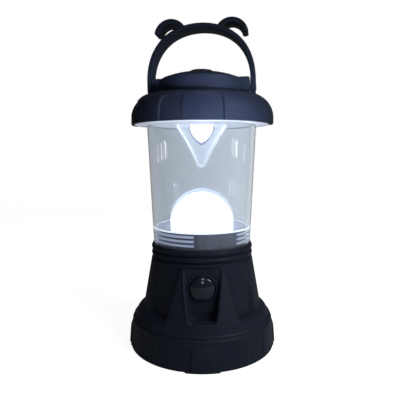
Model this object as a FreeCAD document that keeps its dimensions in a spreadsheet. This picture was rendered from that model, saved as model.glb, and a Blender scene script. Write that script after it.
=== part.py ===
import FreeCAD, Part
import math
import os
import Sketcher
from FreeCAD import Placement, Rotation, Vector

# A camping lantern: battery base, clear screw-in globe, cap with a swinging handle.
# Millimetres. The origin is on the floor under the middle of the base, +Z is up,
# and the push button looks along -Y. The cap and handle sit slightly turned on the base.

X_AXIS = Vector(1, 0, 0)
Y_AXIS = Vector(0, 1, 0)
Z_AXIS = Vector(0, 0, 1)

# How often things come round the lantern's axis.
LOCK_TABS = 3
FOOT_PADS = 4
CELLS = 3
NECK_SCREWS = 3
THREAD_STARTS = 3
RIDGE_ROWS = 3
# A cell spring is drawn in pieces of this many turns.
SPRING_SEGMENT = 0.25
# Cutting shapes run this many times past what they cut.
PAST = 3
# A bevel's share of each side, halfway round a corner.
CORNER = math.sqrt(0.5)

doc = FreeCAD.newDocument("camping_lantern")
sheet = doc.addObject("Spreadsheet::Sheet", "Sizes")

DRIVING_SIZES = [
    # gaps and fits
    ("fit_gap", 0.3, "running gap between pieces that move on each other"),
    ("seat_gap", 0.1, "gap round a piece that drops into its seat"),
    ("pin_clearance", 0.06, "radial clearance of the handle on its pins"),
    # cells and their carrier
    ("cell_length", 50.5, "AA cell, over its positive stud"),
    ("cell_diameter", 14.5, "AA cell"),
    ("cell_stud_height", 1.2, "positive stud"),
    ("cell_stud_radius", 2.7, "positive stud"),
    ("cell_spacing", 10.2, "from the middle of the base to each cell"),
    ("carrier_plate", 1.8, "end plates of the cell carrier"),
    ("carrier_margin", 1.4, "end plate outside the cells"),
    ("carrier_post_radius", 2.5, "post between the cells"),
    ("spring_length", 2.7, "cell spring, fitted"),
    ("spring_radius", 3.2, "cell spring, to the middle of its wire"),
    ("spring_wire", 0.6, "cell spring wire diameter"),
    ("spring_turns", 2, "turns of a cell spring"),
    ("contact_thickness", 0.5, "positive contact"),
    ("contact_radius", 4.0, "positive contact"),
    # foot cover
    ("pad_drop", 0.4, "rubber pads below the foot ring"),
    ("pad_seat", 1.0, "rubber pads let into the foot ring"),
    ("pad_width", 7.0, "rubber pads, in from the edge"),
    ("pad_angle", 24.8, "arc of a rubber pad"),
    ("foot_radius", 43.3, "foot ring at the floor"),
    ("foot_taper", 1.2, "foot ring drawn in at its top"),
    ("foot_edge", 0.3, "chamfer round the floor edge"),
    ("foot_ring_height", 17.4, "foot ring"),
    ("foot_shoulder", 1.2, "bevel round the foot ring's top"),
    ("foot_wall", 4.0, "foot ring wall"),
    ("foot_floor", 3.2, "floor of the foot cover"),
    ("lug_rise", 0.3, "grip lugs outside the foot ring"),
    ("lug_angle", 16.0, "arc of a grip lug"),
    ("lug_drop", 3.6, "lug tops below the foot ring's top"),
    ("parting_gap", 0.3, "line between foot ring and housing"),
    ("foot_seal_width", 1.6, "seal in the foot ring's top"),
    ("foot_seal_depth", 1.0, "seal in the foot ring's top"),
    ("lock_wall", 1.6, "wall inside the foot cover that carries its lock tabs"),
    ("lock_tab_height", 2.0, "lock tabs and pegs"),
    ("lock_tab_angle", 44.0, "arc of a lock tab or peg"),
    ("lock_tab_reach", 1.4, "lock tabs and pegs stand out by this"),
    ("lock_peg_height", 8.0, "lock pegs above the foot cover's floor"),
    # housing
    ("wall", 2.0, "housing wall"),
    ("flare_edge", 0.3, "upright edge under the flare"),
    ("flare_height", 2.5, "flare above the foot ring"),
    ("flare_reach", 5.0, "flare outside the shelf at the cone's foot"),
    ("cone_top_radius", 30.2, "top of the cone"),
    ("panel_rise", 0.9, "front panel outside the cone at its top"),
    ("panel_top_width", 23.6, "front panel at its top"),
    ("panel_foot_width", 44.0, "front panel at its foot"),
    ("panel_knee_inset", 1.5, "front panel inside the flare, where it turns down to the foot ring"),
    ("panel_knee_height", 6.5, "that turn above the housing's lower edge"),
    ("foot_bead_bulge", 4.2, "section radius of the round bead over the flare"),
    ("foot_bead_reach", 2.8, "that bead outside the shelf"),
    # collar
    ("bead_inset", 0.2, "outside of the two beads, inside the top of the cone"),
    ("bead_section", 1.85, "section radius of a bead"),
    ("bead_pitch", 3.65, "from bead to bead"),
    ("bead_relief", 0.5, "groove between the beads"),
    ("collar_foot", 1.35, "collar below the lower bead"),
    # switch
    ("recess_floor", 30.5, "from the axis to the floor of the switch recess"),
    ("recess_top_width", 21.6, "recess floor at its top"),
    ("recess_waist_width", 17.4, "recess floor beside the button"),
    ("recess_foot_width", 11.6, "recess floor at its foot"),
    ("recess_flare", 0.22, "recess side walls open out by this share of their depth"),
    ("recess_foot_rise", 7.4, "recess floor's foot above the housing's lower edge"),
    ("recess_foot_fall", 1.3, "recess foot at its mouth, below its floor's foot"),
    ("recess_reach", 15.0, "depth cut in front of the recess floor"),
    ("pan_wall", 2.0, "wall behind the recess"),
    ("button_radius", 6.95, "push button"),
    ("button_drop", 11.7, "button centre below the top of the cone"),
    ("button_height", 2.2, "button edge above the recess floor"),
    ("button_crown", 0.9, "rise of the button's domed face"),
    ("button_flange", 1.2, "flange that keeps the button in"),
    ("button_flange_reach", 1.2, "flange outside the button"),
    ("button_travel", 1.6, "stroke of the button"),
    ("rim_width", 1.05, "raised rim round the button"),
    ("rim_height", 0.8, "raised rim round the button"),
    ("plunger_radius", 2.0, "stem between button and switch"),
    ("plunger_room", 3.0, "between the button at rest and the switch"),
    ("plunger_entry", 0.9, "stem inside the switch at rest"),
    ("switch_width", 9.0, "push switch"),
    ("switch_depth", 5.9, "push switch"),
    ("switch_board_height", 12.0, "board that carries the switch"),
    ("switch_board_thickness", 1.2, "board that carries the switch"),
    ("switch_post_spacing", 22.4, "between the two board posts"),
    ("switch_post_radius", 2.2, "board posts"),
    ("small_screw_radius", 0.8, "small screws, shank"),
    ("small_screw_head_radius", 1.5, "small screws, head"),
    ("small_screw_head", 1.3, "small screws, head height"),
    ("small_screw_slot", 0.5, "small screws, depth of the slot"),
    ("small_screw_length", 6.0, "small screws, under the head"),
    # lamp
    ("lamp_room", 9.6, "between the cell carrier and the reflector plate"),
    ("neck_show", 9.0, "inner neck above the collar"),
    ("neck_wall", 1.8, "inner neck"),
    ("neck_roof", 1.8, "roof of the inner neck"),
    ("neck_rim", 1.2, "rim round the lamp board"),
    ("neck_flange", 1.8, "flange under the housing's ledge"),
    ("neck_wire_hole_radius", 3.0, "hole for the leads in the neck's roof"),
    ("ledge_drop", 0.5, "housing ledge below the top of the cone"),
    ("ledge_width", 2.2, "housing ledge"),
    ("board_thickness", 1.4, "lamp board"),
    ("board_radius", 15.0, "lamp board"),
    ("led_width", 7.0, "lamp"),
    ("led_height", 1.2, "lamp, without its lens"),
    ("led_lens_radius", 2.6, "lens on the lamp"),
    ("plate_thickness", 0.9, "reflector plate"),
    ("plate_hole_radius", 6.5, "reflector plate, round the lamp"),
    ("dome_radius", 18.7, "light dome"),
    ("dome_straight", 3.4, "upright part of the light dome"),
    ("dome_wall", 1.8, "light dome"),
    # globe
    ("globe_neck_inset", 1.1, "outside of the globe's neck, inside the beads"),
    ("globe_flare", 3.0, "globe's gain in radius from neck to cap"),
    ("globe_wall", 2.0, "globe wall"),
    ("globe_seat", 1.5, "globe let into the collar"),
    ("globe_neck_height", 3.3, "straight part of the globe's neck"),
    ("globe_height", 70.4, "globe"),
    ("globe_seal_height", 1.1, "ring under the globe"),
    ("ridge_depth", 0.9, "thread ridges inside the globe's neck"),
    ("ridge_height", 1.3, "thread ridges"),
    ("ridge_pitch", 2.45, "thread ridges"),
    ("ridge_drop", 1.9, "top ridge below the reflector plate"),
    ("ridge_angle", 65.0, "arc of a thread ridge"),
    ("rib_angle", 54.0, "arc of the neck's matching ribs"),
    ("thread_heading", -12.2, "middle of the first ridge"),
    # cone under the cap
    ("cone_radius", 14.6, "clear cone at the cap"),
    ("cone_wall", 1.7, "clear cone"),
    ("cone_straight", 3.2, "upright part of the clear cone"),
    ("cone_length", 23.2, "clear cone below the cap"),
    ("cone_tip_radius", 2.6, "round tip of the clear cone"),
    ("cone_curve", 80.0, "radius of the clear cone's hollow side"),
    ("inner_cone_radius", 6.9, "bright inner cone"),
    ("inner_cone_length", 9.4, "bright inner cone"),
    ("inner_cone_curve", 14.0, "radius of the inner cone's side"),
    # cap
    ("cap_heading", -8.3, "turn of the cap on the base"),
    ("cap_radius", 41.4, "cap"),
    ("cap_wall", 2.2, "cap"),
    ("cap_height", 16.3, "cap, from its lower edge to its flat top"),
    ("skirt_height", 4.5, "upright part of the cap"),
    ("shoulder_width", 5.0, "main curve of the cap's shoulder"),
    ("shoulder_curve", 13.5, "radius of that curve"),
    ("brow_width", 4.0, "upper curve of the cap's shoulder"),
    ("brow_height", 2.2, "upper curve of the cap's shoulder"),
    ("brow_curve", 6.0, "radius of that curve"),
    ("recess_depth", 0.5, "panels let into the cap"),
    ("recess_top", 1.6, "panels end below the shoulder's upper curve"),
    ("recess_lean", 0.28, "panel tops outside the shoulder's upper curve"),
    ("front_recess_angle", 50.0, "arc of the front and back panels"),
    ("side_recess_angle", 69.0, "arc of the side panels"),
    ("cap_tab_angle", 12.0, "tab in the middle of each panel"),
    ("shelf_thickness", 1.2, "pale plate under the cap"),
    # crown
    ("crown_radius", 24.0, "collar on top of the cap"),
    ("crown_collar", 7.2, "upright part of the crown"),
    ("crown_round_width", 3.0, "round edge of the crown"),
    ("crown_round_height", 3.2, "round edge of the crown"),
    ("crown_round_curve", 3.6, "radius of that edge"),
    ("crown_dome_height", 3.7, "low dome above the round edge"),
    ("crown_dome_curve", 40.0, "radius of the low dome"),
    ("crown_wall", 2.2, "crown"),
    ("plug_radius", 6.6, "disc on the dome"),
    ("plug_rise", 0.9, "disc above the dome"),
    ("plug_seat", 0.9, "disc let into the dome"),
    ("block_inset", 19.5, "pivot blocks, inner end from the axis"),
    ("block_width", 12.0, "pivot blocks, front to back"),
    ("block_height", 10.3, "pivot blocks"),
    ("boss_spacing", 28.0, "between the two screw bosses"),
    ("boss_radius", 3.0, "screw bosses in the crown"),
    # handle
    ("arch_radius", 31.5, "handle outside"),
    ("arch_band", 3.1, "handle band thickness"),
    ("arch_rise", 8.75, "middle of the arch above the cap's flat top"),
    ("arch_top_width", 12.0, "band width at the top"),
    ("arch_leg_width", 8.4, "band width at the pivots"),
    ("eye_gap", 0.6, "handle ends above the cap"),
    ("pin_radius", 2.0, "hinge pins"),
    ("pin_depth", 7.0, "hinge pins inside the pivot blocks"),
    ("hook_across", 0.5397, "cord hooks, centre from the axis, as a share of the arch radius"),
    ("hook_up", 0.781, "cord hooks, centre above the arch's centre, as a share of the arch radius"),
    ("hook_radius", 9.7, "cord hooks outside"),
    ("hook_band", 3.5, "cord hooks"),
    ("hook_tip_angle", 8.0, "end of a hook, from level"),
    ("hook_sweep", 152.0, "arc of a hook"),
]


class Dim:
    """A dimension: its number now, and the expression that ties it to the sheet."""

    def __init__(self, value, text):
        self.value = value
        self.text = text

    def __add__(self, other):
        other = as_dim(other)
        return Dim(self.value + other.value, f"({self.text} + {other.text})")

    def __sub__(self, other):
        other = as_dim(other)
        return Dim(self.value - other.value, f"({self.text} - {other.text})")

    def __mul__(self, other):
        other = as_dim(other)
        return Dim(self.value * other.value, f"({self.text} * {other.text})")

    def __truediv__(self, other):
        other = as_dim(other)
        return Dim(self.value / other.value, f"({self.text} / {other.text})")

    def __neg__(self):
        return Dim(-self.value, f"(0 - {self.text})")


def as_dim(value):
    return value if isinstance(value, Dim) else Dim(float(value), f"{value:.12g}")


class Sizes:
    """The sheet's cells by name, each as a Dim."""


def fill_sheet():
    for row, (alias, number, note) in enumerate(DRIVING_SIZES, start=1):
        sheet.set(f"A{row}", note)
        sheet.set(f"B{row}", str(number))
        sheet.setAlias(f"B{row}", alias)
    doc.recompute()
    for alias, _, _ in DRIVING_SIZES:
        setattr(Sizes, alias, Dim(float(sheet.get(alias)), f"Sizes.{alias}"))


fill_sheet()
S = Sizes
ZERO = as_dim(0)

# Heights, stacked from the floor up.
z_ring_bottom = S.pad_drop
z_floor = z_ring_bottom + S.foot_floor
z_foot_top = z_ring_bottom + S.foot_ring_height
z_housing = z_foot_top + S.parting_gap
z_shelf = z_housing + S.flare_height
z_carrier = z_floor + S.fit_gap
z_spring = z_carrier + S.carrier_plate
z_cell = z_spring + S.spring_length
z_contact = z_cell + S.cell_length
z_carrier_top = z_contact + S.contact_thickness + S.carrier_plate
z_plate = z_carrier_top + S.lamp_room
z_collar_top = z_plate - S.neck_show
z_bead_upper = z_collar_top - S.bead_section
z_bead_lower = z_bead_upper - S.bead_pitch
z_cone_top = z_bead_lower - S.bead_section - S.collar_foot
z_ledge = z_cone_top - S.ledge_drop
z_button = z_cone_top - S.button_drop
z_roof = z_plate - S.board_thickness
z_dome = z_plate + S.plate_thickness
z_globe = z_collar_top - S.globe_seat
z_cap = z_globe + S.globe_height
z_cap_top = z_cap + S.cap_height
z_crown_top = z_cap_top + S.crown_collar + S.crown_round_height + S.crown_dome_height
z_arch = z_cap_top + S.arch_rise
eye_radius = S.arch_leg_width / 2
z_pivot = z_cap_top + S.eye_gap + eye_radius

# Radii that follow from the driving ones.
foot_top_radius = S.foot_radius - S.foot_taper
lug_radius = S.foot_radius + S.lug_rise
foot_inner_radius = foot_top_radius - S.foot_wall
flare_radius = foot_top_radius - S.foot_shoulder
panel_knee_radius = flare_radius - S.panel_knee_inset
shelf_radius = flare_radius - S.flare_reach
cone_taper = (shelf_radius - S.cone_top_radius) / (z_cone_top - z_shelf)
ledge_outer_radius = S.cone_top_radius + (z_cone_top - z_ledge) * cone_taper - S.wall
ledge_inner_radius = ledge_outer_radius - S.ledge_width
skirt_radius = shelf_radius - S.wall
peg_radius = skirt_radius + S.lock_tab_reach
lock_wall_radius = peg_radius + S.fit_gap
bead_radius = S.cone_top_radius - S.bead_inset
globe_neck_radius = bead_radius - S.globe_neck_inset
globe_top_radius = globe_neck_radius + S.globe_flare
globe_bore = globe_neck_radius - S.globe_wall
ridge_radius = globe_bore - S.ridge_depth
neck_radius = ridge_radius - S.fit_gap
arch_inner_radius = S.arch_radius - S.arch_band
block_reach = arch_inner_radius - S.fit_gap
collar_radius = bead_radius - S.bead_relief
carrier_radius = S.cell_spacing + S.cell_diameter / 2 + S.carrier_margin
pan_back = S.recess_floor - S.pan_wall
button_back = pan_back - S.seat_gap - S.button_flange
flange_radius = S.button_radius + S.fit_gap + S.button_flange_reach
switch_front = button_back - S.plunger_room
board_front = switch_front - S.switch_depth
board_back = board_front - S.switch_board_thickness

sub_parts = []


def keep(item, label):
    item.Label = label
    sub_parts.append(item)
    return item


def bind(item, **expressions):
    """Ties each named property of an object to a Dim."""
    for name, size in expressions.items():
        item.setExpression(name.replace("__", "."), as_dim(size).text)
    return item


def turn_about_z(item, heading):
    # Any angle but zero will do here: it fixes the axis, and the expression then sets the angle.
    item.Placement = Placement(Vector(), Rotation(Z_AXIS, heading.value or 1.0))
    item.setExpression("Placement.Rotation.Angle", heading.text)
    return item


def move(item, across=ZERO, along=ZERO, up=ZERO):
    bind(item, Placement__Base__x=across, Placement__Base__y=along, Placement__Base__z=up)
    return item


def origin_feature(body, role):
    return next(item for item in body.Origin.OriginFeatures if item.Role == role)


def new_body(name):
    return doc.addObject("PartDesign::Body", name)


def edge_between(start, end):
    """A line, or an arc where the start names a radius and the side it bulges to; and if it runs forward."""
    first = Vector(start[0].value, start[1].value, 0)
    last = Vector(end[0].value, end[1].value, 0)
    if len(start) == 2:
        return Part.LineSegment(first, last), True
    radius = start[2].value
    chord = last - first
    half = chord.Length / 2
    sagitta = radius - math.sqrt(max(radius * radius - half * half, 0.0))
    right = Vector(chord.y, -chord.x, 0).normalize()
    middle = (first + last) * 0.5
    if start[3] == "right":
        return Part.ArcOfCircle(first, middle + right * sagitta, last), True
    return Part.ArcOfCircle(last, middle - right * sagitta, first), False


def outline(body, name, plane, corners, heading=None, offset=None):
    """A closed sketch through corners: (across, up), or (across, up, radius, side) for an arc after it."""
    sketch = body.newObject("Sketcher::SketchObject", name)
    sketch.AttachmentSupport = [(origin_feature(body, plane), "")]
    sketch.MapMode = "FlatFace"
    if heading is not None:
        sketch.AttachmentOffset = Placement(Vector(), Rotation(Y_AXIS, heading.value))
        sketch.setExpression("AttachmentOffset.Rotation.Angle", heading.text)
    if offset is not None:
        sketch.setExpression("AttachmentOffset.Base.z", offset.text)
    count = len(corners)
    ends = []
    for index, corner in enumerate(corners):
        edge, forward = edge_between(corner, corners[(index + 1) % count])
        sketch.addGeometry(edge, False)
        ends.append((1, 2) if forward else (2, 1))
    for index in range(count):
        following = (index + 1) % count
        joint = Sketcher.Constraint("Coincident", index, ends[index][1], following, ends[following][0])
        sketch.addConstraint(joint)
    for index, corner in enumerate(corners):
        for kind, size, axis in (("DistanceX", corner[0], -2), ("DistanceY", corner[1], -1)):
            if size is ZERO:
                sketch.addConstraint(Sketcher.Constraint("PointOnObject", index, ends[index][0], axis))
                continue
            rule = Sketcher.Constraint(kind, -1, 1, index, ends[index][0], size.value)
            sketch.setExpression(f"Constraints[{sketch.addConstraint(rule)}]", size.text)
        if len(corner) > 2:
            rule = Sketcher.Constraint("Radius", index, corner[2].value)
            sketch.setExpression(f"Constraints[{sketch.addConstraint(rule)}]", corner[2].text)
    return sketch


def revolve(body, name, corners, arc=None, heading=None, cut=False):
    """Turns an outline of (radius, height) corners about Z, all round or over an arc centred on a heading."""
    sketch = outline(body, f"{name}_outline", "XZ_Plane", corners, heading)
    feature = body.newObject("PartDesign::Groove" if cut else "PartDesign::Revolution", name)
    feature.Profile = sketch
    feature.ReferenceAxis = (sketch, ["V_Axis"])
    feature.Angle = 360
    if arc is not None:
        feature.Midplane = True
        feature.setExpression("Angle", arc.text)
    return feature


def pattern(body, name, features, count):
    """Repeats features of a body evenly about Z."""
    polar = body.newObject("PartDesign::PolarPattern", name)
    polar.Originals = features
    polar.Axis = (origin_feature(body, "Z_Axis"), [""])
    polar.Angle = 360
    polar.Occurrences = count
    body.Tip = polar
    return polar


def pad(body, name, corners, width, plane="XZ_Plane"):
    """Pushes an outline out to both sides of its plane."""
    feature = body.newObject("PartDesign::Pad", name)
    feature.Profile = outline(body, f"{name}_outline", plane, corners)
    feature.SideType = "Symmetric"
    feature.setExpression("Length", width.text)
    return feature


def box_corners(left, right, low, high):
    return [(left, low), (right, low), (right, high), (left, high)]


def turned(label, corners):
    """A sub-part that is one turned shape."""
    body = new_body(label)
    revolve(body, f"{label}_shape", corners)
    return keep(body, label)


def cylinder(name, radius, height):
    return bind(doc.addObject("Part::Cylinder", name), Radius=radius, Height=height)


def block(name, left, right, front, back, low, high):
    item = doc.addObject("Part::Box", name)
    bind(item, Length=right - left, Width=back - front, Height=high - low)
    return move(item, left, front, low)


def facing_front(item, depth, up, across=ZERO):
    """Lays a shape made along Z so that it points at the front, its start at a depth from the axis."""
    item.Placement = Placement(Vector(), Rotation(X_AXIS, 90))
    return move(item, across, -depth, up)


def fuse(name, items):
    result = doc.addObject("Part::MultiFuse", name)
    result.Shapes = items
    return result


def cut(name, base, tool):
    result = doc.addObject("Part::Cut", name)
    result.Base = base
    result.Tool = tool
    return result


def common(name, base, tool):
    result = doc.addObject("Part::Common", name)
    result.Base = base
    result.Tool = tool
    return result


def group(name, items):
    result = doc.addObject("Part::Compound", name)
    result.Links = items
    return result


def around(radius, count, start=0.0):
    """Places on a circle, as (x, y) pairs of Dims, from a start heading in degrees."""
    places = []
    for index in range(count):
        angle = math.radians(start + 360.0 * index / count)
        places.append((radius * math.cos(angle), radius * math.sin(angle)))
    return places


def make_foot_cover():
    body = new_body("foot_cover")
    seal_radius = foot_inner_radius + S.foot_seal_width
    z_seal = z_foot_top - S.foot_seal_depth
    revolve(body, "foot_ring", [
        (ZERO, z_ring_bottom), (S.foot_radius - S.foot_edge, z_ring_bottom),
        (S.foot_radius, z_ring_bottom + S.foot_edge), (foot_top_radius, z_foot_top - S.foot_shoulder),
        (flare_radius, z_foot_top), (seal_radius, z_foot_top), (seal_radius, z_seal),
        (foot_inner_radius, z_seal), (foot_inner_radius, z_floor), (ZERO, z_floor)])
    z_tab = z_floor + S.lock_peg_height + S.lock_tab_height + S.fit_gap
    z_tab_top = z_tab + S.lock_tab_height
    revolve(body, "lock_wall", box_corners(
        lock_wall_radius, lock_wall_radius + S.lock_wall, z_ring_bottom + S.foot_floor / 2, z_tab_top))
    tab = revolve(body, "lock_tab", box_corners(
        skirt_radius + S.fit_gap, lock_wall_radius + S.lock_wall / 2, z_tab, z_tab_top), S.lock_tab_angle)
    pattern(body, "lock_tabs", [tab], LOCK_TABS)
    z_lug = z_ring_bottom + S.pad_seat
    lug = revolve(body, "grip_lug", [
        (foot_inner_radius + S.foot_wall / 2, z_lug), (lug_radius, z_lug),
        (foot_top_radius + S.lug_rise, z_foot_top - S.lug_drop - S.lug_rise),
        (foot_top_radius, z_foot_top - S.lug_drop),
        (foot_inner_radius + S.foot_wall / 2, z_foot_top - S.lug_drop)], S.lug_angle)
    pattern(body, "grip_lugs", [lug], FOOT_PADS)
    seat = revolve(body, "pad_pocket", box_corners(
        S.foot_radius - S.pad_width, lug_radius + S.lug_rise,
        z_ring_bottom - S.pad_drop, z_ring_bottom + S.pad_seat), S.pad_angle, cut=True)
    pattern(body, "pad_pockets", [seat], FOOT_PADS)
    keep(body, "foot_cover")


def make_rubber_feet():
    body = new_body("rubber_feet")
    soft_edge = S.pad_drop / 2
    pads = revolve(body, "foot_pad", [
        (S.foot_radius - S.pad_width, ZERO), (lug_radius - soft_edge, ZERO), (lug_radius, soft_edge),
        (lug_radius, z_ring_bottom + S.pad_seat),
        (S.foot_radius - S.pad_width, z_ring_bottom + S.pad_seat)], S.pad_angle)
    pattern(body, "foot_pads", [pads], FOOT_PADS)
    keep(body, "rubber_feet")


def make_foot_seal():
    turned("foot_seal", box_corners(
        foot_inner_radius, foot_inner_radius + S.foot_seal_width - S.seat_gap,
        z_foot_top - S.foot_seal_depth, z_foot_top + S.parting_gap - S.seat_gap))


def housing_skin():
    """The housing as one solid lump: cone, flare, collar, front and back panels, foot bead."""
    core = new_body("housing_core")
    revolve(core, "core", [
        (ZERO, z_housing), (flare_radius, z_housing), (flare_radius, z_housing + S.flare_edge),
        (shelf_radius, z_shelf), (S.cone_top_radius, z_cone_top),
        (collar_radius, z_cone_top + S.cone_top_radius - collar_radius),
        (collar_radius, z_collar_top), (ZERO, z_collar_top)])
    bell = new_body("panel_bell")
    revolve(bell, "bell", [
        (ZERO, z_housing), (flare_radius, z_housing), (flare_radius, z_housing + S.flare_edge),
        (panel_knee_radius, z_housing + S.panel_knee_height),
        (S.cone_top_radius + S.panel_rise, z_cone_top), (ZERO, z_cone_top)])
    wedge = new_body("panel_wedge")
    pad(wedge, "wedge", [
        (-S.panel_foot_width / 2, z_housing), (S.panel_foot_width / 2, z_housing),
        (S.panel_top_width / 2, z_cone_top), (-S.panel_top_width / 2, z_cone_top)], S.foot_radius * PAST)
    skin = [core, common("panels", bell, wedge)]
    for name, height in (("bead_upper", z_bead_upper), ("bead_lower", z_bead_lower)):
        bead = doc.addObject("Part::Torus", name)
        bind(bead, Radius1=bead_radius - S.bead_section, Radius2=S.bead_section)
        skin.append(move(bead, up=height))
    foot_bead = doc.addObject("Part::Torus", "foot_bead")
    bind(foot_bead, Radius1=shelf_radius + S.foot_bead_reach - S.foot_bead_bulge, Radius2=S.foot_bead_bulge)
    skin.append(move(foot_bead, up=z_shelf))
    return fuse("housing_skin", skin)


def housing_cavity():
    """The room inside the housing, with the seat of the globe at its top."""
    cavity = new_body("housing_cavity")
    seat_radius = globe_neck_radius + S.seat_gap
    z_seat = z_globe - S.globe_seal_height - S.seat_gap
    mouth_radius = foot_inner_radius - S.seat_gap
    clear = S.wall
    revolve(cavity, "room", [
        (ZERO, z_housing - clear), (mouth_radius, z_housing - clear), (mouth_radius, z_housing),
        (skirt_radius, z_shelf), (ledge_outer_radius, z_ledge), (ledge_inner_radius, z_ledge),
        (ledge_inner_radius, z_seat), (seat_radius, z_seat), (seat_radius, z_collar_top + clear),
        (ZERO, z_collar_top + clear)])
    return cavity


def shield(name, depth, margin):
    """The recess's front-view outline at a depth in front of its floor, grown by a margin."""
    spread = depth * S.recess_flare * 2 + margin * 2
    top = (S.recess_top_width + spread) / 2
    waist = (S.recess_waist_width + spread) / 2
    foot = (S.recess_foot_width + spread) / 2
    z_foot = z_housing + S.recess_foot_rise - S.recess_foot_fall * depth / S.recess_reach - margin
    z_mouth = z_cone_top + S.collar_foot
    body = new_body(f"{name}_plane")
    return outline(body, name, "XZ_Plane", [
        (-foot, z_foot), (foot, z_foot), (waist, z_button), (top, z_cone_top),
        (top, z_mouth), (-top, z_mouth), (-top, z_cone_top), (-waist, z_button)],
        offset=S.recess_floor + depth)


def shield_block(name, start, margin):
    """The recess as a solid between two such outlines."""
    loft = doc.addObject("Part::Loft", name)
    loft.Sections = [shield(f"{name}_back", start, margin), shield(f"{name}_front", S.recess_reach, margin)]
    loft.Solid = True
    loft.Ruled = True
    return loft


def lock_skirt():
    """The ring inside the housing's foot, with the pegs that the foot cover's tabs hang on."""
    body = new_body("lock_skirt")
    z_peg = z_floor + S.lock_peg_height
    revolve(body, "skirt", box_corners(
        skirt_radius - S.wall, skirt_radius, z_peg, z_shelf + S.wall))
    peg = revolve(body, "peg", box_corners(
        skirt_radius - S.wall / 2, peg_radius, z_peg, z_peg + S.lock_tab_height), S.lock_tab_angle)
    pattern(body, "pegs", [peg], LOCK_TABS)
    return body


def switch_post_places():
    """The board's posts, left and right of the button."""
    return (-S.switch_post_spacing / 2, S.switch_post_spacing / 2)


def neck_screw_places():
    """The neck's screws, clear of the front where the recess is."""
    return around((ledge_outer_radius + neck_radius) / 2, NECK_SCREWS, start=90.0)


def make_base_housing():
    pan = shield_block("recess_pan", -S.pan_wall, S.pan_wall)
    room = cut("housing_room", housing_cavity(), pan)
    shell = cut("housing_shell", housing_skin(), room)
    recessed = cut("housing_recessed", shell, shield_block("switch_recess", ZERO, ZERO))
    bore_radius = S.button_radius + S.fit_gap
    rim = cylinder("button_rim", bore_radius + S.rim_width, S.pan_wall + S.rim_height)
    added = [recessed, lock_skirt(), facing_front(rim, pan_back, z_button)]
    bore = cylinder("button_bore", bore_radius, S.recess_reach + S.pan_wall)
    holes = [facing_front(bore, pan_back - S.pan_wall, z_button)]
    flange_travel = pan_back - button_back + S.button_travel + S.fit_gap
    flange_room = cylinder("flange_room", flange_radius + S.fit_gap, flange_travel)
    holes.append(facing_front(flange_room, pan_back - flange_travel, z_button))
    for index, across in enumerate(switch_post_places(), start=1):
        post = cylinder(f"board_post_{index}", S.switch_post_radius, pan_back + S.seat_gap - board_front)
        added.append(facing_front(post, board_front, z_button, across))
        pilot = cylinder(f"board_pilot_{index}", S.small_screw_radius, S.small_screw_length)
        holes.append(facing_front(pilot, board_back, z_button, across))
    for index, (across, along) in enumerate(neck_screw_places(), start=1):
        pilot = cylinder(f"neck_pilot_{index}", S.small_screw_radius, S.small_screw_length)
        holes.append(move(pilot, across, along, z_ledge - S.neck_flange))
    keep(cut("base_housing", fuse("housing_joined", added), fuse("housing_holes", holes)), "base_housing")


def screw(name):
    """A pan-head screw that points up, its head's seat at the origin."""
    shank = cylinder(f"{name}_shank", S.small_screw_radius, S.small_screw_length - S.seat_gap)
    head = cylinder(f"{name}_head", S.small_screw_head_radius, S.small_screw_head)
    head = move(head, up=-S.small_screw_head)
    slot_width = S.small_screw_head_radius / 3
    slot = block(f"{name}_slot", -S.small_screw_head_radius, S.small_screw_head_radius,
                 -slot_width / 2, slot_width / 2,
                 -S.small_screw_head * PAST, S.small_screw_slot - S.small_screw_head)
    return cut(name, fuse(f"{name}_blank", [shank, head]), slot)


def make_neck_screws():
    screws = []
    for index, (across, along) in enumerate(neck_screw_places(), start=1):
        screws.append(move(screw(f"neck_screw_{index}"), across, along, z_ledge - S.neck_flange))
    keep(group("neck_screws", screws), "neck_screws")


def make_lamp_neck():
    body = new_body("neck_tube")
    flange_radius = ledge_outer_radius - S.fit_gap
    inner_radius = neck_radius - S.neck_wall
    revolve(body, "neck", [
        (inner_radius, z_ledge - S.neck_flange), (flange_radius, z_ledge - S.neck_flange),
        (flange_radius, z_ledge), (neck_radius, z_ledge), (neck_radius, z_plate),
        (neck_radius - S.neck_rim, z_plate), (neck_radius - S.neck_rim, z_roof),
        (S.neck_wire_hole_radius, z_roof), (S.neck_wire_hole_radius, z_roof - S.neck_roof),
        (inner_radius, z_roof - S.neck_roof)])
    rib_gap = S.ridge_pitch - S.ridge_height - S.fit_gap * 2
    ribs = []
    for index in range(RIDGE_ROWS - 1):
        z_rib = z_plate - S.ridge_drop - S.ridge_pitch * (index + 0.5)
        ribs.append(revolve(body, f"rib_{index + 1}", box_corners(
            neck_radius - S.neck_wall / 2, globe_bore - S.fit_gap,
            z_rib - rib_gap / 2, z_rib + rib_gap / 2), S.rib_angle, heading=S.thread_heading))
    pattern(body, "ribs", ribs, THREAD_STARTS)
    holes = []
    for index, (across, along) in enumerate(neck_screw_places(), start=1):
        hole = cylinder(f"flange_hole_{index}", S.small_screw_radius + S.seat_gap, S.neck_flange * PAST)
        holes.append(move(hole, across, along, z_ledge - S.neck_flange * 2))
    keep(cut("lamp_neck", body, fuse("flange_holes", holes)), "lamp_neck")


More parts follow.
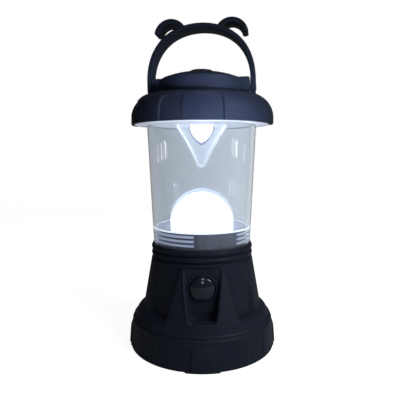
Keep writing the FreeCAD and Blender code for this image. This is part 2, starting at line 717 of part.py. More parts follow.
def make_lamp():
    turned("led_board", box_corners(ZERO, S.board_radius, z_roof, z_plate - S.seat_gap))
    half = S.led_width / 2
    z_led = z_plate - S.seat_gap
    chip = block("led_chip", -half, half, -half, half, z_led, z_led + S.led_height)
    lens = doc.addObject("Part::Sphere", "led_lens")
    bind(lens, Radius=S.led_lens_radius)
    lens.Angle1 = 0
    move(lens, up=z_led + S.led_height)
    keep(fuse("led_emitter", [chip, lens]), "led_emitter")
    turned("reflector_plate", box_corners(S.plate_hole_radius, neck_radius, z_plate, z_dome))
    z_spring_line = z_dome + S.dome_straight
    inner_radius = S.dome_radius - S.dome_wall
    turned("diffuser_dome", [
        (inner_radius, z_dome), (S.dome_radius, z_dome),
        (S.dome_radius, z_spring_line, S.dome_radius, "right"), (ZERO, z_spring_line + S.dome_radius),
        (ZERO, z_spring_line + inner_radius, inner_radius, "left"), (inner_radius, z_spring_line)])


def make_battery():
    body = new_body("battery_carrier")
    revolve(body, "carrier", [
        (ZERO, z_carrier), (carrier_radius, z_carrier), (carrier_radius, z_spring),
        (S.carrier_post_radius, z_spring), (S.carrier_post_radius, z_contact + S.contact_thickness),
        (carrier_radius, z_contact + S.contact_thickness), (carrier_radius, z_carrier_top),
        (ZERO, z_carrier_top)])
    keep(body, "battery_carrier")
    can_radius = S.cell_diameter / 2
    soft_edge = S.cell_stud_height / 2
    contacts = []
    coils = []
    for index, (across, along) in enumerate(around(S.cell_spacing, CELLS, start=90.0), start=1):
        cell = new_body(f"aa_cell_{index}")
        z_can = S.cell_length - S.cell_stud_height
        revolve(cell, f"cell_{index}", [
            (ZERO, ZERO), (can_radius - soft_edge, ZERO), (can_radius, soft_edge),
            (can_radius, z_can - soft_edge), (can_radius - soft_edge, z_can),
            (S.cell_stud_radius, z_can), (S.cell_stud_radius, S.cell_length), (ZERO, S.cell_length)])
        keep(move(cell, across, along, z_cell), f"aa_cell_{index}")
        contact = cylinder(f"contact_{index}", S.contact_radius, S.contact_thickness)
        contacts.append(move(contact, across, along, z_contact))
        coils.append(move(coil(f"coil_{index}"), across, along, z_spring + S.spring_wire / 2))
    keep(group("cell_contacts", contacts), "cell_contacts")
    keep(group("cell_springs", coils), "cell_springs")


def coil(name):
    """A cell spring: a round wire swept along a helix."""
    helix = doc.addObject("Part::Helix", f"{name}_path")
    rise = S.spring_length - S.spring_wire - S.seat_gap
    bind(helix, Radius=S.spring_radius, Height=rise, Pitch=rise / S.spring_turns)
    helix.SegmentLength = SPRING_SEGMENT
    doc.recompute()
    section = doc.addObject("Part::Circle", f"{name}_wire")
    bind(section, Radius=S.spring_wire / 2)
    section.Placement = Placement(Vector(), Rotation(X_AXIS, 90))
    move(section, across=S.spring_radius)
    wire = doc.addObject("Part::Sweep", name)
    wire.Sections = [section]
    wire.Spine = (helix, [f"Edge{number + 1}" for number in range(len(helix.Shape.Edges))])
    wire.Solid = True
    wire.Frenet = True
    return wire


def make_switch():
    body = new_body("switch_button")
    face = S.recess_floor + S.button_height
    crown_curve = (S.button_radius * S.button_radius + S.button_crown * S.button_crown) / (S.button_crown * 2)
    revolve(body, "button", [
        (ZERO, button_back), (flange_radius, button_back),
        (flange_radius, button_back + S.button_flange), (S.button_radius, button_back + S.button_flange),
        (S.button_radius, face, crown_curve, "right"), (ZERO, face + S.button_crown)])
    keep(facing_front(body, ZERO, z_button), "switch_button")
    plunger = cylinder("switch_plunger", S.plunger_radius, S.plunger_room + S.plunger_entry)
    keep(facing_front(plunger, switch_front - S.plunger_entry, z_button), "switch_plunger")
    half = S.switch_width / 2
    case = block("switch_case", -half, half, -switch_front, -board_front, z_button - half, z_button + half)
    room = cylinder("plunger_room", S.plunger_radius + S.fit_gap,
                    S.plunger_entry + S.button_travel + S.fit_gap * 2)
    facing_front(room, switch_front - S.plunger_entry - S.button_travel - S.fit_gap, z_button)
    keep(cut("switch_body", case, room), "switch_body")
    half_board = S.switch_board_height / 2
    board_end = S.switch_post_spacing / 2 + S.switch_post_radius
    board = block("board_blank", -board_end, board_end, -board_front, -board_back,
                  z_button - half_board, z_button + half_board)
    holes = []
    screws = []
    for index, across in enumerate(switch_post_places(), start=1):
        hole = cylinder(
            f"board_hole_{index}", S.small_screw_radius + S.seat_gap, S.switch_board_thickness * PAST)
        holes.append(facing_front(hole, board_back - S.switch_board_thickness, z_button, across))
        screws.append(facing_front(screw(f"switch_screw_{index}"), board_back, z_button, across))
    keep(cut("switch_board", board, fuse("board_holes", holes)), "switch_board")
    keep(group("switch_screws", screws), "switch_screws")


def make_globe():
    turned("globe_seal", box_corners(
        ledge_inner_radius + S.seat_gap, globe_neck_radius,
        z_globe - S.globe_seal_height - S.seat_gap, z_globe - S.seat_gap))
    body = new_body("globe")
    z_neck = z_globe + S.globe_neck_height
    revolve(body, "bulb", [
        (globe_bore, z_globe), (globe_neck_radius, z_globe), (globe_neck_radius, z_neck),
        (globe_top_radius, z_cap), (globe_top_radius - S.globe_wall, z_cap), (globe_bore, z_neck)])
    ridges = []
    for index in range(RIDGE_ROWS):
        z_ridge = z_plate - S.ridge_drop - S.ridge_pitch * index
        ridges.append(revolve(body, f"ridge_{index + 1}", box_corners(
            ridge_radius, globe_bore + S.globe_wall / 2,
            z_ridge - S.ridge_height / 2, z_ridge + S.ridge_height / 2),
            S.ridge_angle, heading=S.thread_heading))
    pattern(body, "ridges", ridges, THREAD_STARTS)
    keep(body, "globe")


def make_cap_underside():
    turned("top_reflector", box_corners(
        S.cone_radius + S.seat_gap, S.cap_radius - S.cap_wall - S.seat_gap, z_cap, z_cap + S.shelf_thickness))
    z_top = z_cap + S.shelf_thickness
    z_bend = z_cap - S.cone_straight
    z_tip = z_cap - S.cone_length
    inner_radius = S.cone_radius - S.cone_wall
    inner_tip = S.cone_tip_radius - S.cone_wall / 2
    turned("cone_guide", [
        (S.cone_radius, z_top), (inner_radius, z_top), (inner_radius, z_bend, S.cone_curve, "left"),
        (inner_tip, z_tip + S.cone_wall), (ZERO, z_tip + S.cone_wall),
        (ZERO, z_tip - S.cone_tip_radius, S.cone_tip_radius, "right"),
        (S.cone_tip_radius, z_tip, S.cone_curve, "right"), (S.cone_radius, z_bend)])
    lid_radius = inner_radius - S.seat_gap
    z_lid = z_top - S.shelf_thickness
    turned("cone_reflector", [
        (ZERO, z_top), (ZERO, z_lid - S.inner_cone_length, S.inner_cone_curve, "right"),
        (S.inner_cone_radius, z_lid), (lid_radius, z_lid), (lid_radius, z_top)])


def crown_screw_places():
    return (-S.boss_spacing / 2, S.boss_spacing / 2)


def make_cap_shade():
    body = new_body("shade_shell")
    knee = (S.cap_radius - S.shoulder_width, z_cap_top - S.brow_height)
    brow_radius = S.cap_radius - S.shoulder_width - S.brow_width
    z_skirt = z_cap + S.skirt_height
    inner_radius = S.cap_radius - S.cap_wall
    revolve(body, "shade", [
        (S.cap_radius, z_cap), (S.cap_radius, z_skirt, S.shoulder_curve, "right"),
        (*knee, S.brow_curve, "right"), (brow_radius, z_cap_top), (ZERO, z_cap_top),
        (ZERO, z_cap_top - S.cap_wall), (brow_radius, z_cap_top - S.cap_wall),
        (knee[0] - S.cap_wall * CORNER, knee[1] - S.cap_wall * CORNER),
        (inner_radius, z_skirt), (inner_radius, z_cap)])
    panel_radius = S.cap_radius - S.recess_depth
    panel_top = (knee[0] + S.recess_lean, knee[1] - S.recess_top)
    outside = S.cap_radius + S.cap_wall
    panels = []
    for side, span, facing in (("front", S.front_recess_angle, -90), ("side", S.side_recess_angle, 0)):
        arc = (span - S.cap_tab_angle) / 2
        for hand in (-1, 1):
            heading = as_dim(facing) + (S.cap_tab_angle + arc) * (0.5 * hand)
            panels.append(revolve(body, f"{side}_panel_{'right' if hand > 0 else 'left'}", [
                (panel_radius, z_cap - S.cap_wall), (panel_radius, z_skirt, S.shoulder_curve, "right"),
                panel_top, (panel_top[0] + S.cap_wall, panel_top[1] + S.cap_wall),
                (outside, panel_top[1] + S.cap_wall), (outside, z_cap - S.cap_wall)],
                arc, heading=heading, cut=True))
    pattern(body, "panels_all_round", panels, 2)
    holes = []
    for index, along in enumerate(crown_screw_places(), start=1):
        hole = cylinder(f"roof_hole_{index}", S.small_screw_radius + S.seat_gap, S.cap_wall * PAST)
        holes.append(move(hole, ZERO, along, z_cap_top - S.cap_wall * 2))
    shade = cut("cap_shade", body, fuse("roof_holes", holes))
    keep(turn_about_z(shade, S.cap_heading), "cap_shade")


def make_cap_crown():
    body = new_body("crown_shell")
    z_collar = z_cap_top + S.crown_collar
    z_round = z_collar + S.crown_round_height
    round_radius = S.crown_radius - S.crown_round_width
    plug_seat_radius = S.plug_radius + S.seat_gap
    inner_radius = S.crown_radius - S.crown_wall
    revolve(body, "crown", [
        (inner_radius, z_cap_top), (S.crown_radius, z_cap_top),
        (S.crown_radius, z_collar, S.crown_round_curve, "right"),
        (round_radius, z_round, S.crown_dome_curve, "right"), (plug_seat_radius, z_crown_top),
        (plug_seat_radius, z_crown_top - S.plug_seat), (ZERO, z_crown_top - S.plug_seat),
        (ZERO, z_crown_top - S.plug_seat - S.crown_wall),
        (plug_seat_radius, z_crown_top - S.plug_seat - S.crown_wall),
        (round_radius - S.crown_wall, z_round - S.crown_wall), (inner_radius, z_collar)])
    block_shape = pad(body, "pivot_block", box_corners(
        S.block_inset, block_reach, z_cap_top, z_cap_top + S.block_height), S.block_width)
    pattern(body, "pivot_blocks", [block_shape], 2)
    bosses = []
    pilots = []
    for index, along in enumerate(crown_screw_places(), start=1):
        boss = cylinder(f"crown_boss_{index}", S.boss_radius, z_round - z_cap_top)
        bosses.append(move(boss, ZERO, along, z_cap_top))
        pilot = cylinder(f"crown_pilot_{index}", S.small_screw_radius, S.small_screw_length)
        pilots.append(move(pilot, ZERO, along, z_cap_top - S.cap_wall))
    bore = cylinder("pin_bore", S.pin_radius, S.arch_radius * 2)
    bore.Placement = Placement(Vector(), Rotation(Y_AXIS, 90))
    move(bore, across=-S.arch_radius, up=z_pivot)
    crown = cut("cap_crown", fuse("crown_joined", [body] + bosses), fuse("crown_holes", [bore] + pilots))
    keep(turn_about_z(crown, S.cap_heading), "cap_crown")
    screws = []
    for index, along in enumerate(crown_screw_places(), start=1):
        screws.append(move(screw(f"crown_screw_{index}"), ZERO, along, z_cap_top - S.cap_wall))
    keep(turn_about_z(group("crown_screws", screws), S.cap_heading), "crown_screws")
    soft_edge = S.plug_rise / 2
    z_plug = z_crown_top - S.plug_seat
    z_plug_top = z_crown_top + S.plug_rise
    turned("crown_plug", [
        (ZERO, z_plug), (S.plug_radius, z_plug), (S.plug_radius, z_plug_top - soft_edge),
        (S.plug_radius - soft_edge, z_plug_top), (ZERO, z_plug_top)])


def make_pivot_pins():
    inner_end = block_reach - S.pin_depth
    for label, start in (("pivot_pin_left", -S.arch_radius), ("pivot_pin_right", inner_end)):
        pin = cylinder(f"{label}_rod", S.pin_radius, S.arch_radius - inner_end)
        pin.Placement = Placement(Vector(), Rotation(Y_AXIS, 90))
        move(pin, across=start, up=z_pivot)
        keep(turn_about_z(group(label, [pin]), S.cap_heading), label)


def make_handle():
    body = new_body("handle_arch")
    z_foot = z_pivot - eye_radius
    z_top = z_arch + S.arch_radius
    z_top_inner = z_arch + arch_inner_radius
    pad(body, "arch", [
        (S.arch_radius, z_foot), (S.arch_radius, z_arch, S.arch_radius, "right"),
        (ZERO, z_top, S.arch_radius, "right"), (-S.arch_radius, z_arch), (-S.arch_radius, z_foot),
        (-arch_inner_radius, z_foot), (-arch_inner_radius, z_arch, arch_inner_radius, "left"),
        (ZERO, z_top_inner, arch_inner_radius, "left"), (arch_inner_radius, z_arch),
        (arch_inner_radius, z_foot)], S.arch_top_width)
    fingers = [body]
    hook_offset = S.arch_radius * S.hook_across
    z_hook = z_arch + S.arch_radius * S.hook_up
    for name, across, start in (
            ("hook_right", hook_offset, S.hook_tip_angle),
            ("hook_left", -hook_offset, as_dim(180) - S.hook_tip_angle - S.hook_sweep)):
        finger = cylinder(f"{name}_finger", S.hook_radius, S.arch_top_width)
        bind(finger, Angle=S.hook_sweep)
        turn_about_z(finger, start)
        throat = cylinder(f"{name}_throat", S.hook_radius - S.hook_band, S.arch_top_width)
        hook = cut(name, finger, throat)
        fingers.append(facing_front(hook, -S.arch_top_width / 2, z_hook, across))
    side = new_body("handle_side")
    half_top = S.arch_top_width / 2
    z_over = z_hook + S.hook_radius
    pad(side, "side", [
        (eye_radius, z_pivot), (half_top, z_top), (half_top, z_over), (-half_top, z_over), (-half_top, z_top),
        (-eye_radius, z_pivot, eye_radius, "right"), (ZERO, z_pivot - eye_radius, eye_radius, "right")],
        S.arch_radius * PAST, plane="YZ_Plane")
    bore = cylinder("eye_bore", S.pin_radius + S.pin_clearance, S.arch_radius * PAST)
    bore.Placement = Placement(Vector(), Rotation(Y_AXIS, 90))
    move(bore, across=-S.arch_radius * PAST / 2, up=z_pivot)
    shape = cut("handle", common("handle_band", fuse("handle_front", fingers), side), bore)
    keep(turn_about_z(shape, S.cap_heading), "handle")


def check(item):
    if "Invalid" in item.State or "Error" in item.State:
        raise RuntimeError(f"{item.Label} failed: {item.State}")


def write_parts():
    doc.recompute()
    for item in doc.Objects:
        check(item)
    for item in sub_parts:
        if item.Shape.isNull() or not item.Shape.isValid() or not item.Shape.Solids:
            raise RuntimeError(f"{item.Label} has no valid solid")
    os.makedirs("parts", exist_ok=True)
    for item in sub_parts:
        item.Shape.exportStep(os.path.join("parts", f"{item.Label}.step"))
        print(f"{item.Label}: {len(item.Shape.Solids)} solid(s), {item.Shape.Volume:.1f} mm3")


make_foot_cover()
make_rubber_feet()
make_foot_seal()
make_base_housing()
make_neck_screws()
make_lamp_neck()
make_lamp()
make_battery()
make_switch()
make_globe()
make_cap_underside()
make_cap_shade()
make_cap_crown()
make_pivot_pins()
make_handle()
write_parts()
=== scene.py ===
import math
import bmesh
import bpy
import numpy as np
from mathutils import Euler, Matrix, Vector


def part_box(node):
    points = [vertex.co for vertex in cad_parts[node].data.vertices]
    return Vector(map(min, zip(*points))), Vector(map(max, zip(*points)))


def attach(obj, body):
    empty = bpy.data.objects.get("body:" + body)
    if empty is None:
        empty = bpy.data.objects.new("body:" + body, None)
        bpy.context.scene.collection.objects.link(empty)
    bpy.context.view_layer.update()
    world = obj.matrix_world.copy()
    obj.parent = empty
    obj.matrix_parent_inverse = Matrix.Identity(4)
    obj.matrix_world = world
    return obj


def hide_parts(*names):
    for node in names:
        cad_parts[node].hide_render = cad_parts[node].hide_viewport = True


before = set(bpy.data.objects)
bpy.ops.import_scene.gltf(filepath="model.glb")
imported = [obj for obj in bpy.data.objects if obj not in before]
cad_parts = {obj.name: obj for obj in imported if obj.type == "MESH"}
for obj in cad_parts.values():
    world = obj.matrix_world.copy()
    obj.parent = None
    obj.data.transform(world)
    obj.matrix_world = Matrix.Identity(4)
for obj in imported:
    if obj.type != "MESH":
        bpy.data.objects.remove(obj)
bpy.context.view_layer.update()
mm = 0.001
capTurn = math.radians(-8.3)
print("frame loaded")


# lower and upper corner of a CAD node, in millimetres
def spanOf(node):
    low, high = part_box(node)
    return np.array(low) / mm, np.array(high) / mm


zFootLow, zFootTop = spanOf("foot_cover")[0][2], spanOf("foot_cover")[1][2]
zHousing = zFootTop + 0.3
zCollarTop = spanOf("base_housing")[1][2]
zGlobe, zCap = spanOf("globe")[0][2], spanOf("globe")[1][2]
zCapTop = spanOf("cap_shade")[1][2]
zPlate, zPlateTop = spanOf("reflector_plate")[0][2], spanOf("reflector_plate")[1][2]
zButton = (spanOf("switch_button")[0][2] + spanOf("switch_button")[1][2]) / 2
buttonFront = -spanOf("switch_button")[0][1]
zDomeTop = spanOf("diffuser_dome")[1][2]
zPivot = (spanOf("pivot_pin_left")[0][2] + spanOf("pivot_pin_left")[1][2]) / 2
footRadius = spanOf("foot_cover")[1][0]
capRadius = spanOf("cap_shade")[1][0]


# 0 below low, 1 above high, cubic between
def smoothStep(low, high, value):
    t = np.clip((value - low) / (high - low), 0.0, 1.0)
    return t * t * (3.0 - 2.0 * t)


# larger of two surfaces, the corner between them rounded over the blend width
def softMax(a, b, blend):
    near = np.maximum(blend - np.abs(a - b), 0.0) / blend
    return np.maximum(a, b) + near * near * blend / 4.0


# smaller of two surfaces, the corner between them rounded over the blend width
def softMin(a, b, blend):
    return -softMax(-a, -b, blend)


# signed distance to a rectangle with rounded corners, negative inside
def roundedBoxDistance(across, up, halfAcross, halfUp, corner):
    qx = np.abs(across) - halfAcross + corner
    qy = np.abs(up) - halfUp + corner
    outside = np.hypot(np.maximum(qx, 0.0), np.maximum(qy, 0.0))
    return outside + np.minimum(np.maximum(qx, qy), 0.0) - corner


# circular arc from start to end in a profile, its centre on the left of the way (side 1) or right (-1)
def arc(start, end, radius, side, count):
    start, end = np.array(start, float), np.array(end, float)
    way = end - start
    length = np.hypot(*way)
    perp = np.array([-way[1], way[0]]) / length
    centre = (start + end) / 2 + side * perp * math.sqrt(max(radius ** 2 - length ** 2 / 4, 0.0))
    a0 = math.atan2(*(start - centre)[::-1])
    a1 = math.atan2(*(end - centre)[::-1])
    turn = (a1 - a0 + math.pi) % (2 * math.pi) - math.pi
    angles = a0 + turn * np.linspace(0.0, 1.0, count)
    return centre + radius * np.stack([np.cos(angles), np.sin(angles)], -1)


# straight run from start to end with count points
def line(start, end, count=2):
    return np.linspace(np.array(start, float), np.array(end, float), count)


# profile pieces joined into one list of points
def joined(*parts):
    return np.concatenate([np.atleast_2d(np.array(part, float)) for part in parts])


# profile (radius, height) turned about the vertical axis
def turned(profile, columns=180):
    headings = np.linspace(0.0, 2 * math.pi, columns, endpoint=False)
    r, z = profile[:, 0][:, None], profile[:, 1][:, None]
    return np.stack(np.broadcast_arrays(r * np.cos(headings), r * np.sin(headings), z), -1)


# profile (radius, distance forward) turned about the button's level axis, which points to the front
def turnedForward(profile, columns=120):
    angles = np.linspace(0.0, 2 * math.pi, columns, endpoint=False)
    r, y = profile[:, 0][:, None], profile[:, 1][:, None]
    return np.stack(np.broadcast_arrays(r * np.cos(angles), -y, zButton + r * np.sin(angles)), -1)


# points turned about the vertical axis by an angle
def spun(points, angle):
    c, s = math.cos(angle), math.sin(angle)
    return points @ np.array([[c, s, 0.0], [-s, c, 0.0], [0.0, 0.0, 1.0]])


# box with rounded edges: sphere directions pushed out to the corners of a smaller box
def roundedBox(centre, half, corner, columns=36, rows=17):
    polar = (np.arange(rows + 1) + 0.0) / rows * math.pi
    around = (np.arange(columns) + 0.5) / columns * 2 * math.pi
    n = np.stack(np.broadcast_arrays(np.sin(polar)[:, None] * np.cos(around),
                                     np.sin(polar)[:, None] * np.sin(around),
                                     np.cos(polar)[:, None] + 0.0 * around), -1)
    return np.array(centre) + np.sign(n) * (np.array(half) - corner) + n * corner


# rounded rectangle section of half sizes (u, v) with a corner radius, as points round the section
def roundedSection(halfU, halfV, corner, count=32):
    angles = (np.arange(count) + 0.5) / count * 2 * math.pi
    c, s = np.cos(angles), np.sin(angles)
    u = np.sign(c) * (halfU[:, None] - corner[:, None]) + c * corner[:, None]
    v = np.sign(s) * (halfV[:, None] - corner[:, None]) + s * corner[:, None]
    return u, v


# quads between the neighbouring points of a grid
def gridFaces(rows, cols, wrapRows, wrapCols):
    i = np.arange(rows if wrapRows else rows - 1)[:, None]
    j = np.arange(cols if wrapCols else cols - 1)[None, :]
    ni, nj = (i + 1) % rows, (j + 1) % cols
    quads = np.stack(np.broadcast_arrays(i * cols + j, i * cols + nj, ni * cols + nj, ni * cols + j), -1)
    return quads.reshape(-1, 4)


# mesh object from grids of points in millimetres; each grid is (points, wrapRows, wrapCols, material index)
def putPiece(name, grids, body, materials, replaced=(), sharp=38.0):
    points, faces, marks, start = [], [], [], 0
    for grid, wrapRows, wrapCols, mark in grids:
        rows, cols = grid.shape[:2]
        quads = gridFaces(rows, cols, wrapRows, wrapCols) + start
        points.append(grid.reshape(-1, 3))
        faces.append(quads)
        marks.append(np.full(len(quads), mark, np.int32))
        start += rows * cols
    mesh = bpy.data.meshes.new(name)
    mesh.from_pydata((np.concatenate(points) * mm).tolist(), [], np.concatenate(faces).tolist())
    mesh.polygons.foreach_set("material_index", np.concatenate(marks))
    work = bmesh.new()
    work.from_mesh(mesh)
    bmesh.ops.remove_doubles(work, verts=work.verts, dist=2e-6)
    bmesh.ops.recalc_face_normals(work, faces=work.faces)
    work.to_mesh(mesh)
    work.free()
    mesh.shade_smooth()
    mesh.set_sharp_from_angle(angle=math.radians(sharp))
    for material in materials:
        mesh.materials.append(material)
    piece = bpy.data.objects.new(name, mesh)
    bpy.context.scene.collection.objects.link(piece)
    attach(piece, body)
    if replaced:
        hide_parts(*replaced)
    return piece


# node group with named inputs and outputs
def newGroup(name, inputs, outputs):
    group = bpy.data.node_groups.new(name, "ShaderNodeTree")
    for label, kind, value in inputs:
        socket = group.interface.new_socket(name=label, in_out="INPUT", socket_type=kind)
        socket.default_value = value
    for label, kind in outputs:
        group.interface.new_socket(name=label, in_out="OUTPUT", socket_type=kind)
    return group, group.nodes.new("NodeGroupInput"), group.nodes.new("NodeGroupOutput")


# node with its properties and input values set
def node(tree, kind, values=None, **props):
    made = tree.nodes.new(kind)
    for key, value in props.items():
        setattr(made, key, value)
    for key, value in (values or {}).items():
        made.inputs[key].default_value = value
    return made


# moulded grain: two noises in object space give a mottled colour, a roughness and a bump height
def makeGrainGroup():
    group, inner, outer = newGroup("mouldedGrain", [
        ("Dark Tone", "NodeSocketColor", (0.01, 0.01, 0.015, 1)),
        ("Light Tone", "NodeSocketColor", (0.02, 0.02, 0.03, 1)),
        ("Mottle Scale", "NodeSocketFloat", 60.0), ("Grain Scale", "NodeSocketFloat", 2500.0),
        ("Low Roughness", "NodeSocketFloat", 0.4), ("High Roughness", "NodeSocketFloat", 0.55)],
        [("Color", "NodeSocketColor"), ("Roughness", "NodeSocketFloat"), ("Height", "NodeSocketFloat")])
    place = node(group, "ShaderNodeTexCoord")
    mottle = node(group, "ShaderNodeTexNoise", {"Detail": 4.0, "Roughness": 0.6})
    grain = node(group, "ShaderNodeTexNoise", {"Detail": 2.0, "Roughness": 0.5})
    tone = node(group, "ShaderNodeMix", data_type="RGBA")
    rough = node(group, "ShaderNodeMapRange")
    link = group.links.new
    link(place.outputs["Object"], mottle.inputs["Vector"])
    link(place.outputs["Object"], grain.inputs["Vector"])
    link(inner.outputs["Mottle Scale"], mottle.inputs["Scale"])
    link(inner.outputs["Grain Scale"], grain.inputs["Scale"])
    link(mottle.outputs["Fac"], tone.inputs["Factor"])
    link(inner.outputs["Dark Tone"], tone.inputs["A"])
    link(inner.outputs["Light Tone"], tone.inputs["B"])
    link(mottle.outputs["Fac"], rough.inputs["Value"])
    link(inner.outputs["Low Roughness"], rough.inputs["To Min"])
    link(inner.outputs["High Roughness"], rough.inputs["To Max"])
    link(tone.outputs["Result"], outer.inputs["Color"])
    link(rough.outputs["Result"], outer.inputs["Roughness"])
    link(grain.outputs["Fac"], outer.inputs["Height"])
    return group


# edge rub: convex edges, broken up by noise, pull the colour towards the rubbed tone
def makeEdgeGroup():
    group, inner, outer = newGroup("edgeRub", [
        ("Color", "NodeSocketColor", (0.01, 0.01, 0.015, 1)),
        ("Rubbed", "NodeSocketColor", (0.04, 0.042, 0.055, 1)),
        ("Amount", "NodeSocketFloat", 0.5)], [("Color", "NodeSocketColor")])
    shape = node(group, "ShaderNodeNewGeometry")
    edge = node(group, "ShaderNodeMapRange", {"From Min": 0.52, "From Max": 0.62})
    place = node(group, "ShaderNodeTexCoord")
    patch = node(group, "ShaderNodeTexNoise", {"Scale": 220.0, "Detail": 3.0})
    broken = node(group, "ShaderNodeMath", operation="MULTIPLY")
    scaled = node(group, "ShaderNodeMath", operation="MULTIPLY")
    tone = node(group, "ShaderNodeMix", data_type="RGBA")
    link = group.links.new
    link(shape.outputs["Pointiness"], edge.inputs["Value"])
    link(place.outputs["Object"], patch.inputs["Vector"])
    link(edge.outputs["Result"], broken.inputs[0])
    link(patch.outputs["Fac"], broken.inputs[1])
    link(broken.outputs["Value"], scaled.inputs[0])
    link(inner.outputs["Amount"], scaled.inputs[1])
    link(scaled.outputs["Value"], tone.inputs["Factor"])
    link(inner.outputs["Color"], tone.inputs["A"])
    link(inner.outputs["Rubbed"], tone.inputs["B"])
    link(tone.outputs["Result"], outer.inputs["Color"])
    return group


# dust: faces that look up, broken up by noise, pull the colour towards a pale tone
def makeDustGroup():
    group, inner, outer = newGroup("dustVeil", [
        ("Color", "NodeSocketColor", (0.01, 0.01, 0.015, 1)),
        ("Dust", "NodeSocketColor", (0.2, 0.2, 0.21, 1)),
        ("Amount", "NodeSocketFloat", 0.05)], [("Color", "NodeSocketColor")])
    shape = node(group, "ShaderNodeNewGeometry")
    split = node(group, "ShaderNodeSeparateXYZ")
    facing = node(group, "ShaderNodeMapRange", {"From Min": 0.2, "From Max": 1.0})
    place = node(group, "ShaderNodeTexCoord")
    patch = node(group, "ShaderNodeTexNoise", {"Scale": 90.0, "Detail": 6.0, "Roughness": 0.7})
    broken = node(group, "ShaderNodeMath", operation="MULTIPLY")
    scaled = node(group, "ShaderNodeMath", operation="MULTIPLY")
    tone = node(group, "ShaderNodeMix", data_type="RGBA")
    link = group.links.new
    link(shape.outputs["Normal"], split.inputs["Vector"])
    link(split.outputs["Z"], facing.inputs["Value"])
    link(place.outputs["Object"], patch.inputs["Vector"])
    link(facing.outputs["Result"], broken.inputs[0])
    link(patch.outputs["Fac"], broken.inputs[1])
    link(broken.outputs["Value"], scaled.inputs[0])
    link(inner.outputs["Amount"], scaled.inputs[1])
    link(scaled.outputs["Value"], tone.inputs["Factor"])
    link(inner.outputs["Color"], tone.inputs["A"])
    link(inner.outputs["Dust"], tone.inputs["B"])
    link(tone.outputs["Result"], outer.inputs["Color"])
    return group


grainGroup, edgeGroup, dustGroup = makeGrainGroup(), makeEdgeGroup(), makeDustGroup()


# colour tuple with an alpha of one
def tone(r, g, b):
    return (r, g, b, 1.0)


# material from the grain group, with optional edge rub, dust and plain shader values
def makeMaterial(name, dark, light, rough, mottle=60.0, grain=2500.0, bump=0.15, depth=0.00003,
                 rub=None, rubAmount=0.5, dust=0.0, plain=None):
    material = bpy.data.materials.new(name)
    material.use_nodes = True
    tree = material.node_tree
    shader = tree.nodes["Principled BSDF"]
    for key, value in (plain or {}).items():
        shader.inputs[key].default_value = value
    base = node(tree, "ShaderNodeGroup", node_tree=grainGroup)
    base.inputs["Dark Tone"].default_value = tone(*dark)
    base.inputs["Light Tone"].default_value = tone(*light)
    base.inputs["Mottle Scale"].default_value = mottle
    base.inputs["Grain Scale"].default_value = grain
    base.inputs["Low Roughness"].default_value = rough[0]
    base.inputs["High Roughness"].default_value = rough[1]
    color = base.outputs["Color"]
    if rub:
        edge = node(tree, "ShaderNodeGroup", node_tree=edgeGroup)
        edge.inputs["Rubbed"].default_value = tone(*rub)
        edge.inputs["Amount"].default_value = rubAmount
        tree.links.new(color, edge.inputs["Color"])
        color = edge.outputs["Color"]
    if dust:
        veil = node(tree, "ShaderNodeGroup", node_tree=dustGroup)
        veil.inputs["Amount"].default_value = dust
        tree.links.new(color, veil.inputs["Color"])
        color = veil.outputs["Color"]
    tree.links.new(color, shader.inputs["Base Color"])
    tree.links.new(base.outputs["Roughness"], shader.inputs["Roughness"])
    if bump:
        relief = node(tree, "ShaderNodeBump", {"Strength": bump, "Distance": depth})
        tree.links.new(base.outputs["Height"], relief.inputs["Height"])
        tree.links.new(relief.outputs["Normal"], shader.inputs["Normal"])
    return material


softSheen = {"Specular IOR Level": 0.11, "Specular Tint": tone(0.72, 0.84, 1.0)}
housingMat = makeMaterial("softHousing", (0.0105, 0.0142, 0.025), (0.014, 0.0185, 0.032), (0.42, 0.54),
                          mottle=70.0, grain=3200.0, bump=0.25, depth=0.00003, rub=(0.03, 0.036, 0.06),
                          rubAmount=0.5, dust=0.01, plain=softSheen)
handleMat = makeMaterial("satinHandle", (0.0105, 0.0142, 0.024), (0.014, 0.0185, 0.031), (0.36, 0.48),
                         mottle=80.0, grain=3600.0, bump=0.2, depth=0.00002, rub=(0.03, 0.036, 0.06),
                         rubAmount=0.5, dust=0.01, plain=softSheen)
# black inner parts given a lighter blue-grey tone: painted light from the lit lamp inside the globe
blackPartPaintedLightMat = makeMaterial("blackPartPaintedLight", (0.085, 0.095, 0.14), (0.12, 0.13, 0.185), (0.26, 0.38),
                             mottle=50.0, bump=0.1, plain={"Specular IOR Level": 0.4})
buttonMat = makeMaterial("glossButton", (0.008, 0.0105, 0.018), (0.011, 0.014, 0.023), (0.12, 0.16),
                         mottle=110.0, grain=4000.0, bump=0.08, depth=0.00001, rub=(0.03, 0.034, 0.05),
                         rubAmount=0.3, plain={"Specular IOR Level": 0.55,
                                               "Specular Tint": tone(0.8, 0.9, 1.0)})
rubberMat = makeMaterial("footRubber", (0.010, 0.010, 0.012), (0.022, 0.022, 0.025), (0.7, 0.9),
                         mottle=200.0, grain=1800.0, bump=0.4, depth=0.00006,
                         plain={"Specular IOR Level": 0.25})
# clear globe tinted grey-blue: painted shade standing in for the darker backdrop seen through it
clearGlobePaintedShadeMat = makeMaterial("clearGlobePaintedShade", (0.72, 0.77, 0.83), (0.77, 0.81, 0.86), (0.0, 0.03),
                        mottle=30.0, grain=120.0, bump=0.004, depth=0.00002,
                        plain={"Transmission Weight": 1.0, "IOR": 1.45})
coneMat = makeMaterial("clearFunnel", (0.93, 0.95, 1.0), (0.97, 0.98, 1.0), (0.0, 0.05), mottle=60.0,
                       grain=200.0, bump=0.04, depth=0.00003,
                       plain={"Transmission Weight": 1.0, "IOR": 1.04})
